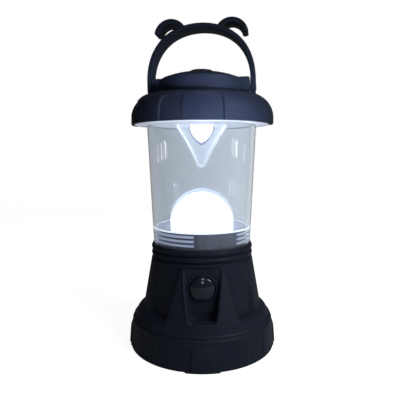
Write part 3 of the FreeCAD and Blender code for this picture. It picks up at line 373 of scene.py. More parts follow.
# milky diffuser with a faint emission: painted glow of the lamp's light passing through it
milkyDomePaintedGlowMat = makeMaterial("milkyDomePaintedGlow", (0.84, 0.88, 1.0), (0.90, 0.93, 1.0), (0.0, 0.06), mottle=60.0,
                        grain=900.0, bump=0.05, depth=0.00003,
                        plain={"Transmission Weight": 1.0, "IOR": 1.03,
                               "Emission Color": tone(0.72, 0.78, 1.0), "Emission Strength": 0.2})
glowMat = makeMaterial("glowCore", (0.92, 0.95, 1.0), (0.97, 0.98, 1.0), (0.4, 0.5), mottle=80.0, bump=0.0,
                       plain={"Emission Color": tone(0.94, 0.97, 1.0), "Emission Strength": 3.5})
# reflector cone given a strong emission: painted reflection of the lit dome, though it is no lamp
reflectorConePaintedGlowMat = makeMaterial("reflectorConePaintedGlow", (0.88, 0.92, 1.0), (0.96, 0.98, 1.0), (0.12, 0.22), mottle=80.0, bump=0.0,
                      plain={"Emission Color": tone(0.95, 0.98, 1.0), "Emission Strength": 3.0})
# see-through dark violet shell round the glowing tip: painted shade for its dark outline
outlinePaintedShadeMat = makeMaterial("outlinePaintedShadeCone", (0.13, 0.13, 0.27), (0.17, 0.17, 0.33), (0.3, 0.4), mottle=90.0,
                        bump=0.0, plain={"Alpha": 0.5})
plateMat = makeMaterial("brightPlate", (0.56, 0.62, 0.76), (0.64, 0.70, 0.83), (0.14, 0.24), mottle=40.0,
                        grain=1500.0, bump=0.08, plain={"Metallic": 0.35})
# bright ring with an emission: painted glow of lamp light carried in the clear plastic
stepRingPaintedGlowMat = makeMaterial("stepRingPaintedGlow", (0.86, 0.90, 1.0), (0.94, 0.96, 1.0), (0.2, 0.3), mottle=120.0, bump=0.05,
                      plain={"Emission Color": tone(0.9, 0.95, 1.0), "Emission Strength": 0.65})
# frosted thread ridges with a faint emission: painted glow of lamp light scattered in them
ridgePaintedGlowMat = makeMaterial("frostedRidgePaintedGlow", (0.62, 0.67, 0.80), (0.73, 0.77, 0.88), (0.25, 0.4), mottle=150.0,
                        grain=1200.0, bump=0.1, plain={"Transmission Weight": 0.3, "IOR": 1.2,
                                                       "Emission Color": tone(0.6, 0.68, 1.0),
                                                       "Emission Strength": 0.12})
# pale plates with a faint emission: painted glow of the lamp's light falling on them
palePaintedGlowMat = makeMaterial("palePlatePaintedGlow", (0.74, 0.78, 0.86), (0.82, 0.85, 0.9), (0.3, 0.42), mottle=40.0,
                        bump=0.08, plain={"Emission Color": tone(0.9, 0.94, 1.0), "Emission Strength": 0.2})
lampMat = makeMaterial("ledFace", (0.9, 0.8, 0.3), (1.0, 0.92, 0.5), (0.3, 0.4), mottle=300.0,
                       plain={"Emission Color": tone(1.0, 0.97, 0.85), "Emission Strength": 1.5})
boardMat = makeMaterial("boardGreen", (0.02, 0.09, 0.05), (0.03, 0.13, 0.07), (0.35, 0.5), mottle=120.0)
switchMat = makeMaterial("switchCase", (0.02, 0.02, 0.022), (0.035, 0.035, 0.04), (0.4, 0.5), mottle=120.0)
steelMat = makeMaterial("steel", (0.5, 0.5, 0.52), (0.62, 0.62, 0.64), (0.22, 0.36), mottle=160.0,
                        grain=3000.0, bump=0.1, plain={"Metallic": 1.0})
pinMat = makeMaterial("darkPin", (0.012, 0.013, 0.019), (0.02, 0.021, 0.03), (0.36, 0.46), mottle=160.0)
brassMat = makeMaterial("brass", (0.62, 0.44, 0.16), (0.75, 0.55, 0.22), (0.2, 0.34), mottle=160.0,
                        plain={"Metallic": 1.0})
cellMat = makeMaterial("cellSleeve", (0.06, 0.10, 0.22), (0.09, 0.14, 0.28), (0.2, 0.32), mottle=50.0)
print("materials made")

# light carried in the funnel's wall: a plain glow for each metre of plastic, so its edges look brighter
wallLight = node(coneMat.node_tree, "ShaderNodeEmission",
                 {"Color": tone(0.86, 0.92, 1.0), "Strength": 72.0})
coneMat.node_tree.links.new(wallLight.outputs["Emission"],
                            coneMat.node_tree.nodes["Material Output"].inputs["Volume"])

nodeMaterials = {
    "base_housing": housingMat, "foot_cover": housingMat, "cap_shade": housingMat, "cap_crown": housingMat,
    "crown_plug": housingMat, "handle": handleMat, "lamp_neck": blackPartPaintedLightMat,
    "battery_carrier": blackPartPaintedLightMat,
    "switch_button": buttonMat, "switch_plunger": buttonMat, "rubber_feet": rubberMat,
    "foot_seal": rubberMat,
    "globe_seal": rubberMat, "globe": clearGlobePaintedShadeMat, "cone_guide": coneMat, "diffuser_dome": milkyDomePaintedGlowMat,
    "reflector_plate": plateMat, "cone_reflector": reflectorConePaintedGlowMat, "top_reflector": palePaintedGlowMat, "led_board": palePaintedGlowMat,
    "led_emitter": lampMat, "switch_board": boardMat, "switch_body": switchMat, "cell_contacts": brassMat}
for name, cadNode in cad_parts.items():
    material = cellMat if name.startswith("aa_cell") else nodeMaterials.get(name, steelMat)
    cadNode.data.materials.clear()
    cadNode.data.materials.append(material)

# base shell: a cone, a foot flare, a ring and a front and back panel as one radius over heading and height
base = dict(coneTop=30.2, coneTopDrop=8.7, taper=0.1755, collar=29.4, groove=28.6, beadRing=28.3, bead=1.85,
            beadDrops=(1.85, 5.5), flare=40.9, flareRise=0.3, flareSlope=2.27, ringRadius=34.5,
            ringBulge=4.2,
            ringRise=2.5, panelTop=31.1, panelKnee=39.4, kneeRise=6.5, panelFoot=40.95, panelTopWidth=11.8,
            panelFootWidth=22.0, floor=30.5, wellRadius=7.7, wellFloor=26.5, wall=1.9)


# outer radius of the base shell at a heading from the front and a height
def baseRadius(phi, z):
    b = base
    zConeTop = zCollarTop - b["coneTopDrop"]
    zKnee = zHousing + b["kneeRise"]
    side = np.abs(np.sin(phi))
    psi = np.degrees(np.arcsin(np.clip(side, 0.0, 1.0)))
    panel = np.interp(z, [zHousing + b["flareRise"], zKnee, zConeTop],
                      [b["panelFoot"], b["panelKnee"], b["panelTop"]])
    halfPanel = np.interp(z, [zHousing, zConeTop], [b["panelFootWidth"], b["panelTopWidth"]])
    within = halfPanel - panel * side
    cone = b["coneTop"] + (zConeTop - z) * b["taper"]
    pocket = smoothStep(-0.4, 1.0, -within) * smoothStep(58.5, 55.0, psi) * smoothStep(47.0, 39.0, z)
    cone = cone - pocket * (0.8 + 1.2 * smoothStep(44.0, 27.0, z))
    flare = b["flare"] - np.maximum(z - zHousing - b["flareRise"], 0.0) * b["flareSlope"]
    lift = z - zHousing - b["ringRise"]
    ring = b["ringRadius"] + np.sqrt(np.maximum(b["ringBulge"] ** 2 - lift ** 2, 0.0))
    ring = np.where(np.abs(lift) < b["ringBulge"], ring, 0.0)
    skirt = np.interp(z - zHousing, [0.3, 2.5, 4.0, 5.9, 6.0], [40.9, 39.3, 38.5, 36.0, 0.0])
    body = softMax(softMax(softMax(cone, flare, 1.2), ring, 1.6), skirt, 1.6)
    fade = 0.7 + 6.0 * smoothStep(25.5, 20.5, z)
    panelMask = smoothStep(-fade * 1.6, 0.7, within)
    body = body + panelMask * (softMax(body, panel, 0.6) - body)
    frontX = b["floor"] * np.tan(np.clip(phi, -0.9, 0.9))
    front = np.cos(phi) > 0.6
    halfRecess = np.interp(z, [25.5, zButton, zConeTop], [5.6, 8.5, 10.2])
    inside = softMin(softMin(halfRecess - np.abs(frontX), zConeTop - 0.5 - z, 3.0), z - 24.9, 2.4)
    inside = np.where(front, inside, -9.0)
    floor = softMin(b["floor"] / np.maximum(np.cos(phi), 0.5), body - 0.45, 0.4)
    recess = smoothStep(-0.35, 0.4, inside)
    lip = 0.45 * np.exp(-((inside + 0.85) / 0.5) ** 2)
    body = body + lip + recess * (floor - body)
    rho = np.hypot(frontX, z - zButton)
    well = np.where(front, smoothStep(b["wellRadius"] + 0.25, b["wellRadius"] - 0.25, rho), 0.0)
    body = body + well * (b["wellFloor"] / np.maximum(np.cos(phi), 0.5) - body)
    collar = np.where(z > zCollarTop - 1.2, b["collar"], b["groove"])
    for drop in b["beadDrops"]:
        rise = np.clip((z - (zCollarTop - drop)) / b["bead"], -1.0, 1.0)
        collar = np.maximum(collar, b["beadRing"] + b["bead"] * np.sqrt(1.0 - rise * rise))
    chamfer = b["coneTop"] - np.maximum(z - zConeTop, 0.0)
    collar = softMax(collar, np.where(z < zConeTop + 2.0, chamfer, 0.0), 0.3)
    return np.where(z > zConeTop, np.maximum(collar, 0.0), body)


phi = np.radians(np.concatenate([np.arange(-180.0, -34.0, 1.0), np.arange(-34.0, 34.0, 0.34),
                                 np.arange(34.0, 180.0, 1.0)]))
heights = np.concatenate([np.linspace(zHousing, zHousing + 8.0, 30),
                          np.linspace(zHousing + 8.3, zCollarTop - 8.8, 76),
                          np.linspace(zCollarTop - 8.65, zCollarTop, 40)])
phiGrid, zGrid = np.meshgrid(phi, heights)
outerR = baseRadius(phiGrid, zGrid)
innerHeights = np.array([zCollarTop, 59.1, 59.0, 52.7, 52.6, 40.0, 30.0, 20.6, zHousing])
innerPlain = np.array([29.0, 29.0, 26.1, 26.1, 28.3, 30.5, 32.25, 33.9, 38.0])
phiInner, zInner = np.meshgrid(phi, innerHeights)
innerR = np.minimum(innerPlain[:, None], baseRadius(phiInner, zInner) - base["wall"])
innerR = np.minimum(innerR, np.where(np.abs(phiInner) < 0.34, 26.3 / np.cos(np.clip(phiInner, -1, 1)),
                                     99.0))
allR = np.concatenate([outerR, innerR])
allZ = np.concatenate([zGrid, zInner])
allPhi = np.concatenate([phiGrid, phiInner])
baseGrid = np.stack([allR * np.sin(allPhi), -allR * np.cos(allPhi), allZ], -1)
putPiece("baseShell", [(baseGrid, True, True, 0)], "base", [housingMat], ("base_housing",),
         sharp=50.0)

# button rim: a ring with a round crest that stands on the recess floor
rim = dict(inner=7.25, outer=8.35, back=28.6, crest=31.25)
rimProfile = joined([(rim["inner"], rim["back"]), (rim["inner"], rim["crest"] - 0.35)],
                    arc((rim["inner"], rim["crest"] - 0.35), (rim["inner"] + 0.35, rim["crest"]), 0.36,
                        -1, 5),
                    arc((rim["outer"] - 0.4, rim["crest"]), (rim["outer"], rim["crest"] - 0.4), 0.42,
                        -1, 5),
                    [(rim["outer"], rim["back"])])
putPiece("buttonRim", [(turnedForward(rimProfile), True, True, 0)], "base", [housingMat])

# button: a short drum with a rounded edge and a low crown
button = dict(radius=6.95, back=29.4, edge=buttonFront - 2.0, corner=1.1)
r, edge, corner = button["radius"], button["edge"], button["corner"]
crown = np.linspace(r - corner, 0.0, 14)
crownRise = edge + (buttonFront - edge) * (1.0 - (crown / r) ** 2)
buttonProfile = joined([(0.0, button["back"]), (r, button["back"]), (r, edge - corner)],
                       arc((r, edge - corner), (crown[0], crownRise[0]), corner * 1.15, 1, 7),
                       np.stack([crown, crownRise], -1))
putPiece("buttonCap", [(turnedForward(buttonProfile), False, True, 0)], "button", [buttonMat],
         ("switch_button",))
print("base made")

# foot ring: a turned cup whose outside has four grip lugs, shallow finger flats and pad pockets
foot = dict(bottom=footRadius - 0.3, top=42.1, edgeTop=40.9, shoulder=1.2, inner=38.1, floor=3.6, lug=0.95,
            lugHalf=8.0, lugTop=14.2, flat=0.5, flatFrom=36.0, flatTo=53.0)


# outer radius of the foot ring at a heading from the front and a height
def footOuter(phi, z):
    f = foot
    plain = np.interp(z, [zFootLow, zFootLow + 0.3, zFootTop - f["shoulder"], zFootTop],
                      [f["bottom"] - 0.3, f["bottom"], f["top"], f["edgeTop"]])
    quarter = np.degrees((phi + math.pi / 4) % (math.pi / 2) - math.pi / 4)
    lug = smoothStep(f["lugHalf"] + 0.7, f["lugHalf"] - 0.7, np.abs(quarter))
    lug = lug * smoothStep(f["lugTop"] + 1.2, f["lugTop"] - 3.4, z)
    away = np.degrees(np.arcsin(np.clip(np.abs(np.sin(phi)), 0, 1)))
    flat = smoothStep(f["flatFrom"] - 1.5, f["flatFrom"] + 1.5, away)
    flat = flat * smoothStep(f["flatTo"] + 1.5, f["flatTo"] - 1.5, away)
    flat = flat * smoothStep(zFootTop - 1.6, zFootTop - 3.0, z) * smoothStep(0.9, 2.0, z)
    return plain + f["lug"] * lug * smoothStep(zFootLow, 0.9, z) - f["flat"] * flat


footPhi = np.radians(np.arange(-180.0, 180.0, 0.5))
footZ = np.concatenate([np.linspace(zFootLow, 1.6, 7), np.linspace(2.2, 12.8, 12),
                        np.linspace(13.1, 14.6, 9), np.linspace(15.0, zFootTop, 12)])
fp, fz = np.meshgrid(footPhi, footZ)
fr = footOuter(fp, fz)
footInner = np.array([(39.7, zFootTop), (39.7, zFootTop - 1.0), (foot["inner"], zFootTop - 1.0),
                      (foot["inner"], foot["floor"]), (0.0, foot["floor"])])
footUnder = np.array([(0.0, zFootLow), (35.5, zFootLow)])
ip, iz = np.meshgrid(footPhi, footInner[:, 1])
up, uz = np.meshgrid(footPhi, footUnder[:, 1])
rAll = np.concatenate([np.broadcast_to(footUnder[:, 0][:, None], up.shape), fr,
                       np.broadcast_to(footInner[:, 0][:, None], ip.shape)])
pAll, zAll = np.concatenate([up, fp, ip]), np.concatenate([uz, fz, iz])
footGrid = np.stack([rAll * np.sin(pAll), -rAll * np.cos(pAll), zAll], -1)
putPiece("footShell", [(footGrid, False, True, 0)], "foot", [housingMat], ("foot_cover",))
print("foot made")

# cap: a turned shade whose side has recessed panels with rounded corners and a tab in each
cap = dict(skirt=4.5, knee=(36.4, 14.1), kneeCurve=13.5, brow=(32.4, zCapTop - zCap), browCurve=6.0,
           wall=2.2, topInner=20.0, depth=1.0, sideShare=0.55, frontHalf=24.0, sideHalf=39.0, tabHalf=6.0,
           panelTop=13.3, corner=3.4)
capOuter = joined(line((capRadius - 0.35, 0.0), (capRadius, 0.35), 3),
                  line((capRadius, 0.7), (capRadius, cap["skirt"]), 12),
                  arc((capRadius, cap["skirt"]), cap["knee"], cap["kneeCurve"], 1, 34)[1:],
                  arc(cap["knee"], cap["brow"], cap["browCurve"], 1, 14)[1:],
                  line((31.0, cap["brow"][1]), (cap["topInner"], cap["brow"][1]), 4))
capIn = joined([(cap["topInner"], cap["brow"][1] - cap["wall"])],
               line((31.5, cap["brow"][1] - cap["wall"]), (34.4, 12.4), 3),
               arc((34.4, 12.4), (capRadius - cap["wall"], cap["skirt"]), 11.3, -1, 10),
               [(capRadius - cap["wall"], 0.0)])
capPhi = np.radians(np.arange(-180.0, 180.0, 0.5))
way = np.gradient(capOuter, axis=0)
way = way / np.hypot(way[:, 0], way[:, 1])[:, None]
run = np.concatenate([[0.0], np.cumsum(np.hypot(*np.diff(capOuter, axis=0).T))])
runTop = np.interp(cap["panelTop"], capOuter[:50, 1], run[:50])
headings = np.degrees(capPhi)[None, :]
along = run[:, None]


# recess depth share of a panel centred on a heading: inside its rounded outline, outside its central tab
def panelShare(centre, half):
    turn = (headings - centre + 180.0) % 360.0 - 180.0
    across = np.radians(turn) * capRadius
    outline = roundedBoxDistance(across, along - runTop / 2 + 4.0, math.radians(half) * capRadius,
                                 runTop / 2 + 4.0, cap["corner"])
    tab = np.abs(across) - math.radians(cap["tabHalf"]) * capRadius
    return smoothStep(0.25, -0.25, outline) * smoothStep(-0.25, 0.25, tab)


share = (panelShare(0.0, cap["frontHalf"]) + panelShare(180.0, cap["frontHalf"])
         + cap["sideShare"] * (panelShare(90.0, cap["sideHalf"]) + panelShare(-90.0, cap["sideHalf"])))
quarterTurn = (headings + 45.0) % 90.0 - 45.0
tabRaise = 0.3 * smoothStep(cap["tabHalf"] + 0.4, cap["tabHalf"] - 0.4, np.abs(quarterTurn))
tabRaise = tabRaise * smoothStep(runTop + 2.6, runTop + 1.6, along)
shift = tabRaise * smoothStep(0.0, 1.0, along) - cap["depth"] * share
outR = capOuter[:, 0][:, None] + way[:, 1][:, None] * shift
outZ = capOuter[:, 1][:, None] - way[:, 0][:, None] * shift
outZ = np.maximum(outZ, 0.0)
inR = np.broadcast_to(capIn[:, 0][:, None], (len(capIn), len(capPhi)))
inZ = np.broadcast_to(capIn[:, 1][:, None], inR.shape)
rAll, zAll = np.concatenate([outR, inR]), np.concatenate([outZ, inZ]) + zCap
capGrid = np.stack([rAll * np.sin(capPhi), -rAll * np.cos(capPhi), zAll], -1)
putPiece("capShell", [(spun(capGrid, capTurn), True, True, 0)], "globe", [housingMat],
         ("cap_shade",))

# crown: a turned collar with a low dome, and two rounded pivot blocks
crownSize = dict(radius=24.0, wallTop=8.3, edgeCurve=1.9, dome=(22.3, 10.0), domeCurve=46.0,
                 seat=(6.9, 13.5),
                 blockIn=19.5, blockOut=28.1, blockHalf=6.0, blockTop=10.3, blockCorner=1.0)
crownProfile = joined([(crownSize["radius"] + 0.5, 0.0), (crownSize["radius"], 0.6)],
                      line((crownSize["radius"], 1.5), (crownSize["radius"], crownSize["wallTop"]), 4),
                      arc((crownSize["radius"], crownSize["wallTop"]), crownSize["dome"],
                          crownSize["edgeCurve"], 1, 10)[1:],
                      arc(crownSize["dome"], crownSize["seat"], crownSize["domeCurve"], 1, 16)[1:],
                      [(6.9, 13.0), (0.0, 13.0)])
crownUnder = joined([(0.0, 11.0), (6.0, 11.0)], arc((6.0, 11.0), (19.5, 8.0), 40.0, -1, 8),
                    [(21.6, 6.0), (21.6, 0.0)])
crownLoop = np.concatenate([crownProfile, crownUnder]) + np.array([0.0, zCapTop])
blockGrids = []
for side in (-1.0, 1.0):
    centre = (side * (crownSize["blockIn"] + crownSize["blockOut"]) / 2, 0.0,
              zCapTop + crownSize["blockTop"] / 2 - 0.2)
    half = ((crownSize["blockOut"] - crownSize["blockIn"]) / 2, crownSize["blockHalf"],
            crownSize["blockTop"] / 2 + 0.2)
    blockGrids.append((spun(roundedBox(centre, half, crownSize["blockCorner"]), capTurn), False, True, 0))
putPiece("crownShell", [(turned(crownLoop, 240), True, True, 0)] + blockGrids, "globe",
         [housingMat], ("cap_crown",))

# plug: a small disc with a rounded edge on the dome
plug = dict(radius=6.6, low=spanOf("crown_plug")[0][2], top=spanOf("crown_plug")[1][2], corner=0.5)
plugProfile = joined([(0.0, plug["low"]), (plug["radius"], plug["low"])],
                     arc((plug["radius"], plug["top"] - plug["corner"]),
                         (plug["radius"] - plug["corner"], plug["top"]),
                         plug["corner"] * 1.02, 1, 6), [(3.0, plug["top"]), (0.0, plug["top"])])
putPiece("crownDisc", [(turned(plugProfile, 120), False, True, 0)], "globe", [housingMat],
         ("crown_plug",))
print("cap made")

# handle: a rounded band along an arch with round eyes at its ends, and two cord hooks
bail = dict(radius=31.5, thick=3.1, halfFoot=4.2, halfTop=6.0, corner=0.75, archUp=3.95, hookX=17.0,
            hookUp=24.6, hookRadius=9.7, hookBand=3.3, tip=8.0, sweep=142.0, square=0.03, lift=0.25)
zArch = zPivot + bail["archUp"]
midRadius = bail["radius"] - bail["thick"] / 2
turnAngles = np.linspace(math.pi, 0.0, 121)
eyeZ = zPivot - bail["halfFoot"] * np.cos(np.linspace(0.06, math.pi / 2, 14))
legZ = np.concatenate([eyeZ, np.linspace(zPivot, zArch, 6)[1:-1]])
archRadius = midRadius * (1.0 + bail["square"] * np.sin(2 * turnAngles) ** 2)
archX = archRadius * np.cos(turnAngles)
archZ = zArch + archRadius * np.sin(turnAngles) + bail["lift"] * np.sin(turnAngles)
pathX = np.concatenate([np.full(len(legZ), -midRadius), archX, np.full(len(legZ), midRadius)])
pathZ = np.concatenate([legZ, archZ, legZ[::-1]])
slopeX, slopeZ = np.gradient(pathX), np.gradient(pathZ)
outX, outZ = -slopeZ / np.hypot(slopeX, slopeZ), slopeX / np.hypot(slopeX, slopeZ)
below = np.clip(zPivot - pathZ, 0.0, bail["halfFoot"])
zBandTop = zArch + bail["radius"]
halfWide = np.where(pathZ < zPivot, np.sqrt(np.maximum(bail["halfFoot"] ** 2 - below ** 2, 0.04)),
                    np.interp(pathZ, [zPivot, zBandTop], [bail["halfFoot"], bail["halfTop"]]))
halfThick = np.full(len(pathX), bail["thick"] / 2)
corners = np.minimum(bail["corner"], halfWide * 0.95)


# section (u outward, v sideways) carried along a path in the handle's plane, its two ends drawn to a point
def carried(x, z, ox, oz, halfU, halfV, corner):
    u, v = roundedSection(halfU, halfV, corner)
    grid = np.stack([x[:, None] + ox[:, None] * u, v, z[:, None] + oz[:, None] * u], -1)
    first, last = grid[:1].mean(axis=1, keepdims=True), grid[-1:].mean(axis=1, keepdims=True)
    count = grid.shape[1]
    return np.concatenate([np.repeat(first, count, 1), grid, np.repeat(last, count, 1)])


bandGrid = carried(pathX, pathZ, outX, outZ, halfThick, halfWide, corners)
hookGrids = []
hookMid = bail["hookRadius"] - bail["hookBand"] / 2
for side in (-1.0, 1.0):
    swing = np.concatenate([np.array([0.0, 0.25, 0.8, 1.6, 2.6, 4.0, 6.0]),
                            np.linspace(9.0, bail["sweep"], 48)])
    angle = np.radians(bail["tip"] + swing)
    tipRun = np.radians(swing) * hookMid
    tipThick = bail["hookBand"] / 2 * np.sqrt(np.clip(1.0 - (1.0 - np.clip(tipRun / 0.7, 0, 1)) ** 2 * 0.75,
                                                      0.0, 1.0))
    tipWide = bail["halfTop"] - 0.5 - 0.7 * (1.0 - np.clip(tipRun / 0.7, 0, 1)) ** 2
    hx = side * (bail["hookX"] + 0.3 + 0.3 * side + hookMid * np.cos(angle))
    hz = zArch + bail["hookUp"] + 0.2 - 0.2 * side + hookMid * np.sin(angle)
    hookGrids.append((spun(carried(hx, hz, side * np.cos(angle), np.sin(angle), tipThick, tipWide,
                                   np.minimum(0.75, tipThick * 0.9)), capTurn), False, True, 0))
putPiece("handleBand", [(spun(bandGrid, capTurn), False, True, 0)] + hookGrids, "handle",
         [handleMat], ("handle",))

# pivot pins: rods whose domed heads show on the outside of the handle's eyes
pin = dict(inner=21.1, face=31.5, rise=0.35, radius=2.0)
pinRun = np.concatenate([[pin["inner"], pin["inner"], pin["face"]],
                         pin["face"] + pin["rise"] * np.sin(np.linspace(0.3, 1.57, 6))])
pinR = np.concatenate([[0.0, pin["radius"], pin["radius"]],
                       pin["radius"] * np.cos(np.linspace(0.3, 1.57, 6))])
pinR[-1] = 0.0
around = np.linspace(0.0, 2 * math.pi, 40, endpoint=False)
for name, side in (("Left", -1.0), ("Right", 1.0)):
    grid = np.stack(np.broadcast_arrays(side * pinRun[:, None] + 0.0 * around,
                                        pinR[:, None] * np.cos(around),
                                        zPivot + pinR[:, None] * np.sin(around)), -1)
    putPiece("pin" + name, [(spun(grid, capTurn), False, True, 0)], "globe", [pinMat],
             ("pivot_pin_" + name.lower(),))
print("handle made")

# globe: a clear tapered wall whose neck carries interrupted thread ridges on the inside
globe = dict(neck=28.9, neckRise=3.3, top=31.9, wall=2.0, ridgeRadius=26.0, ridge=1.25, pitch=2.45,
             firstDrop=1.9, ridgeArc=65.0, ridgeHeading=-12.2)
zWaist = zGlobe + globe["neckRise"]
outZs = np.concatenate([[zGlobe, zGlobe + 0.3], np.linspace(zGlobe + 0.8, zWaist, 4),
                        np.linspace(zWaist + 1.0, zCap + 0.6, 24)])
outRs = np.interp(outZs, [zGlobe, zGlobe + 0.3, zWaist, zCap],
                  [globe["neck"] - 0.3, globe["neck"], globe["neck"], globe["top"]])
inZs = np.concatenate([np.linspace(zCap + 0.6, zWaist, 24), [zGlobe + 0.3, zGlobe]])
inRs = np.interp(inZs, [zGlobe, zWaist, zCap], [globe["neck"], globe["neck"], globe["top"]]) - globe["wall"]
globeLoop = np.concatenate([np.stack([outRs, outZs], -1), np.stack([inRs, inZs], -1)])


# ring sector: a rounded section carried round the axis over an arc, its ends drawn to a point
def ringSector(inner, outer, low, high, corner, middle, span, count=40):
    angles = np.radians(np.linspace(middle - span / 2, middle + span / 2, count))
    half = np.ones(count)
    u, v = roundedSection(half * (outer - inner) / 2, half * (high - low) / 2, half * corner, 16)
    r, z = (inner + outer) / 2 + u, (low + high) / 2 + v
    grid = np.stack([r * np.cos(angles)[:, None], r * np.sin(angles)[:, None], z], -1)
    first, last = grid[:1].mean(axis=1, keepdims=True), grid[-1:].mean(axis=1, keepdims=True)
    return np.concatenate([np.repeat(first, 16, 1), grid, np.repeat(last, 16, 1)])


# thread ridges, drawn with the frosted material and its painted glow
ridgeGrids = []
for start in range(3):
    for row in range(3):
        zRidge = zPlate - globe["firstDrop"] - globe["pitch"] * row
        bore = np.interp(zRidge, [zWaist, zCap], [globe["neck"], globe["top"]]) - globe["wall"]
        ridgeGrids.append((ringSector(globe["ridgeRadius"], bore + 0.15, zRidge - globe["ridge"] / 2,
                                      zRidge + globe["ridge"] / 2, 0.3,
                                      globe["ridgeHeading"] + 120.0 * start,
                                      globe["ridgeArc"]), False, True, 1))
# step ring at the globe's foot, drawn with a painted glow
stepRing = joined([(27.25, zPlateTop - 0.85), (28.75, zPlateTop - 0.85), (28.75, zPlateTop),
                   (27.25, zPlateTop)])
putPiece("globeWall", [(turned(globeLoop, 240), True, True, 0), (turned(stepRing, 240), True, True, 2)]
         + ridgeGrids, "globe", [clearGlobePaintedShadeMat, ridgePaintedGlowMat, stepRingPaintedGlowMat], ("globe",))

# neck: the dark tube inside the globe's foot, with thin upright ribs; its blue-grey tone is painted lamp
# light on a black part
neck = dict(radius=25.6, wall=1.8, low=54.0, rib=0.3, ribEvery=9.7, ribHalf=0.45)
neckPhi = np.radians(np.arange(0.0, 360.0, 0.25))
beside = np.abs((np.degrees(neckPhi) + 90.0 - 4.1 + neck["ribEvery"] / 2) % neck["ribEvery"]
                - neck["ribEvery"] / 2)
ribShare = smoothStep(neck["ribHalf"], neck["ribHalf"] * 0.4, beside)
neckRows = np.array([(1.0, neck["low"]), (1.0, zPlate - 0.6), (0.0, zPlate), (-1.0, zPlate),
                     (-1.0, neck["low"])])
neckR = np.where(neckRows[:, 0][:, None] > 0, neck["radius"] + neck["rib"] * ribShare[None, :],
                 neck["radius"])
neckR = np.where(neckRows[:, 0][:, None] < 0, neck["radius"] - neck["wall"], neckR)
neckGrid = np.stack([neckR * np.cos(neckPhi), neckR * np.sin(neckPhi),
                     neckRows[:, 1][:, None] + 0.0 * neckR], -1)
putPiece("neckTube", [(neckGrid, True, True, 0)], "base", [blackPartPaintedLightMat], ("lamp_neck",))

# reflector plate: a flat ring whose thin outer rim catches the lamp's light
plate = dict(hole=6.5, flat=26.1, radius=26.9)
plateTop = joined([(plate["flat"], zPlateTop - 0.05), (plate["hole"], zPlateTop - 0.05),
                   (plate["hole"], zPlate), (plate["flat"], zPlate)])
plateEdge = joined([(plate["flat"], zPlate + 0.25), (plate["radius"] - 0.2, zPlate + 0.25),
                    (plate["radius"], zPlate + 0.45),
                    (plate["radius"], zPlateTop - 0.15), (plate["radius"] - 0.2, zPlateTop + 0.05),
                    (plate["flat"], zPlateTop + 0.05)])
putPiece("lampPlate", [(turned(plateTop, 200), True, True, 0), (turned(plateEdge, 200), True, True, 1)],
         "base", [plateMat, plateMat], ("reflector_plate",))

# light dome: a milky shell with a faint painted glow, over a lower glowing core
dome = dict(radius=18.7, spring=3.4, coreTop=3.0, coreRadius=18.4)
zSpring = zPlateTop + dome["spring"]
rise = np.linspace(0.0, math.pi / 2, 40)
domeOuter = joined([(dome["radius"] - 0.6, zPlateTop), (dome["radius"], zPlateTop)],
                   np.stack([dome["radius"] * np.cos(rise), zSpring + (zDomeTop - zSpring) * np.sin(rise)],
                            -1))
domeOuter[-1, 0] = 0.0
coreHeight = zDomeTop - dome["coreTop"] - zPlateTop
core = np.stack([dome["coreRadius"] * np.cos(rise), zPlateTop + 0.1 + coreHeight * np.sin(rise)], -1)
core[-1, 0] = 0.0
coreLoop = joined([(0.0, zPlateTop + 0.1)], core)
putPiece("lightDome", [(turned(domeOuter, 160), False, True, 0), (turned(coreLoop, 160), False, True, 1)],
         "base", [milkyDomePaintedGlowMat, glowMat], ("diffuser_dome",))

# funnel: a clear hollow cone whose radius grows with the square of the height
# inside it hangs a reflector cone under a lid; its glow is a painted reflection of the lamp, and a
# see-through dark shell round it is a painted outline
funnel = dict(top=131.9, bend=129.5, tip=107.6, tipRadius=3.1, slope=0.36, swell=0.0078, bottom=105.9,
              wall=1.75)
coneZ = np.linspace(funnel["bend"], funnel["tip"], 26)
coneRise = coneZ - funnel["tip"]
coneR = funnel["tipRadius"] + funnel["slope"] * coneRise + funnel["swell"] * coneRise ** 2
outerCone = joined([(coneR[0] - funnel["wall"], funnel["top"]), (coneR[0], funnel["top"])],
                   np.stack([coneR, coneZ], -1),
                   arc((funnel["tipRadius"], funnel["tip"]), (0.0, funnel["bottom"]), 3.6, -1, 8)[1:])
hollowR = np.maximum(coneR - funnel["wall"], 0.0)[::-1]
innerConeEdge = joined([(0.0, funnel["tip"] + 0.4)], np.stack([hollowR, coneZ[::-1] + 0.5], -1))
putPiece("clearFunnel", [(turned(np.concatenate([outerCone, innerConeEdge]), 120), True, True, 0)], "globe",
         [coneMat], ("cone_guide",))
lid = dict(radius=12.8, low=130.7, top=131.9, cone=6.9, tip=120.6, curve=11.0)
lidProfile = joined([(0.0, lid["top"]), (lid["radius"], lid["top"]), (lid["radius"], lid["low"]),
                     (lid["cone"], lid["low"])])
tipProfile = joined([(lid["cone"], lid["low"])], arc((lid["cone"], lid["low"]), (0.0, lid["tip"]),
                                                     lid["curve"], -1, 24)[1:])
# dark shell just outside the glowing tip: a painted outline
outlinePaintedShadeProfile = arc((lid["cone"] + 0.7, lid["low"] - 0.1), (0.0, lid["tip"] - 1.7), lid["curve"] + 2.5,
                   -1, 24)
putPiece("reflectorConePaintedGlow", [(turned(lidProfile, 96), False, True, 0), (turned(tipProfile, 96), False, True, 1),
                      (turned(outlinePaintedShadeProfile, 96), False, True, 2)], "globe",
         [palePaintedGlowMat, reflectorConePaintedGlowMat, outlinePaintedShadeMat], ("cone_reflector",))
print("globe made")


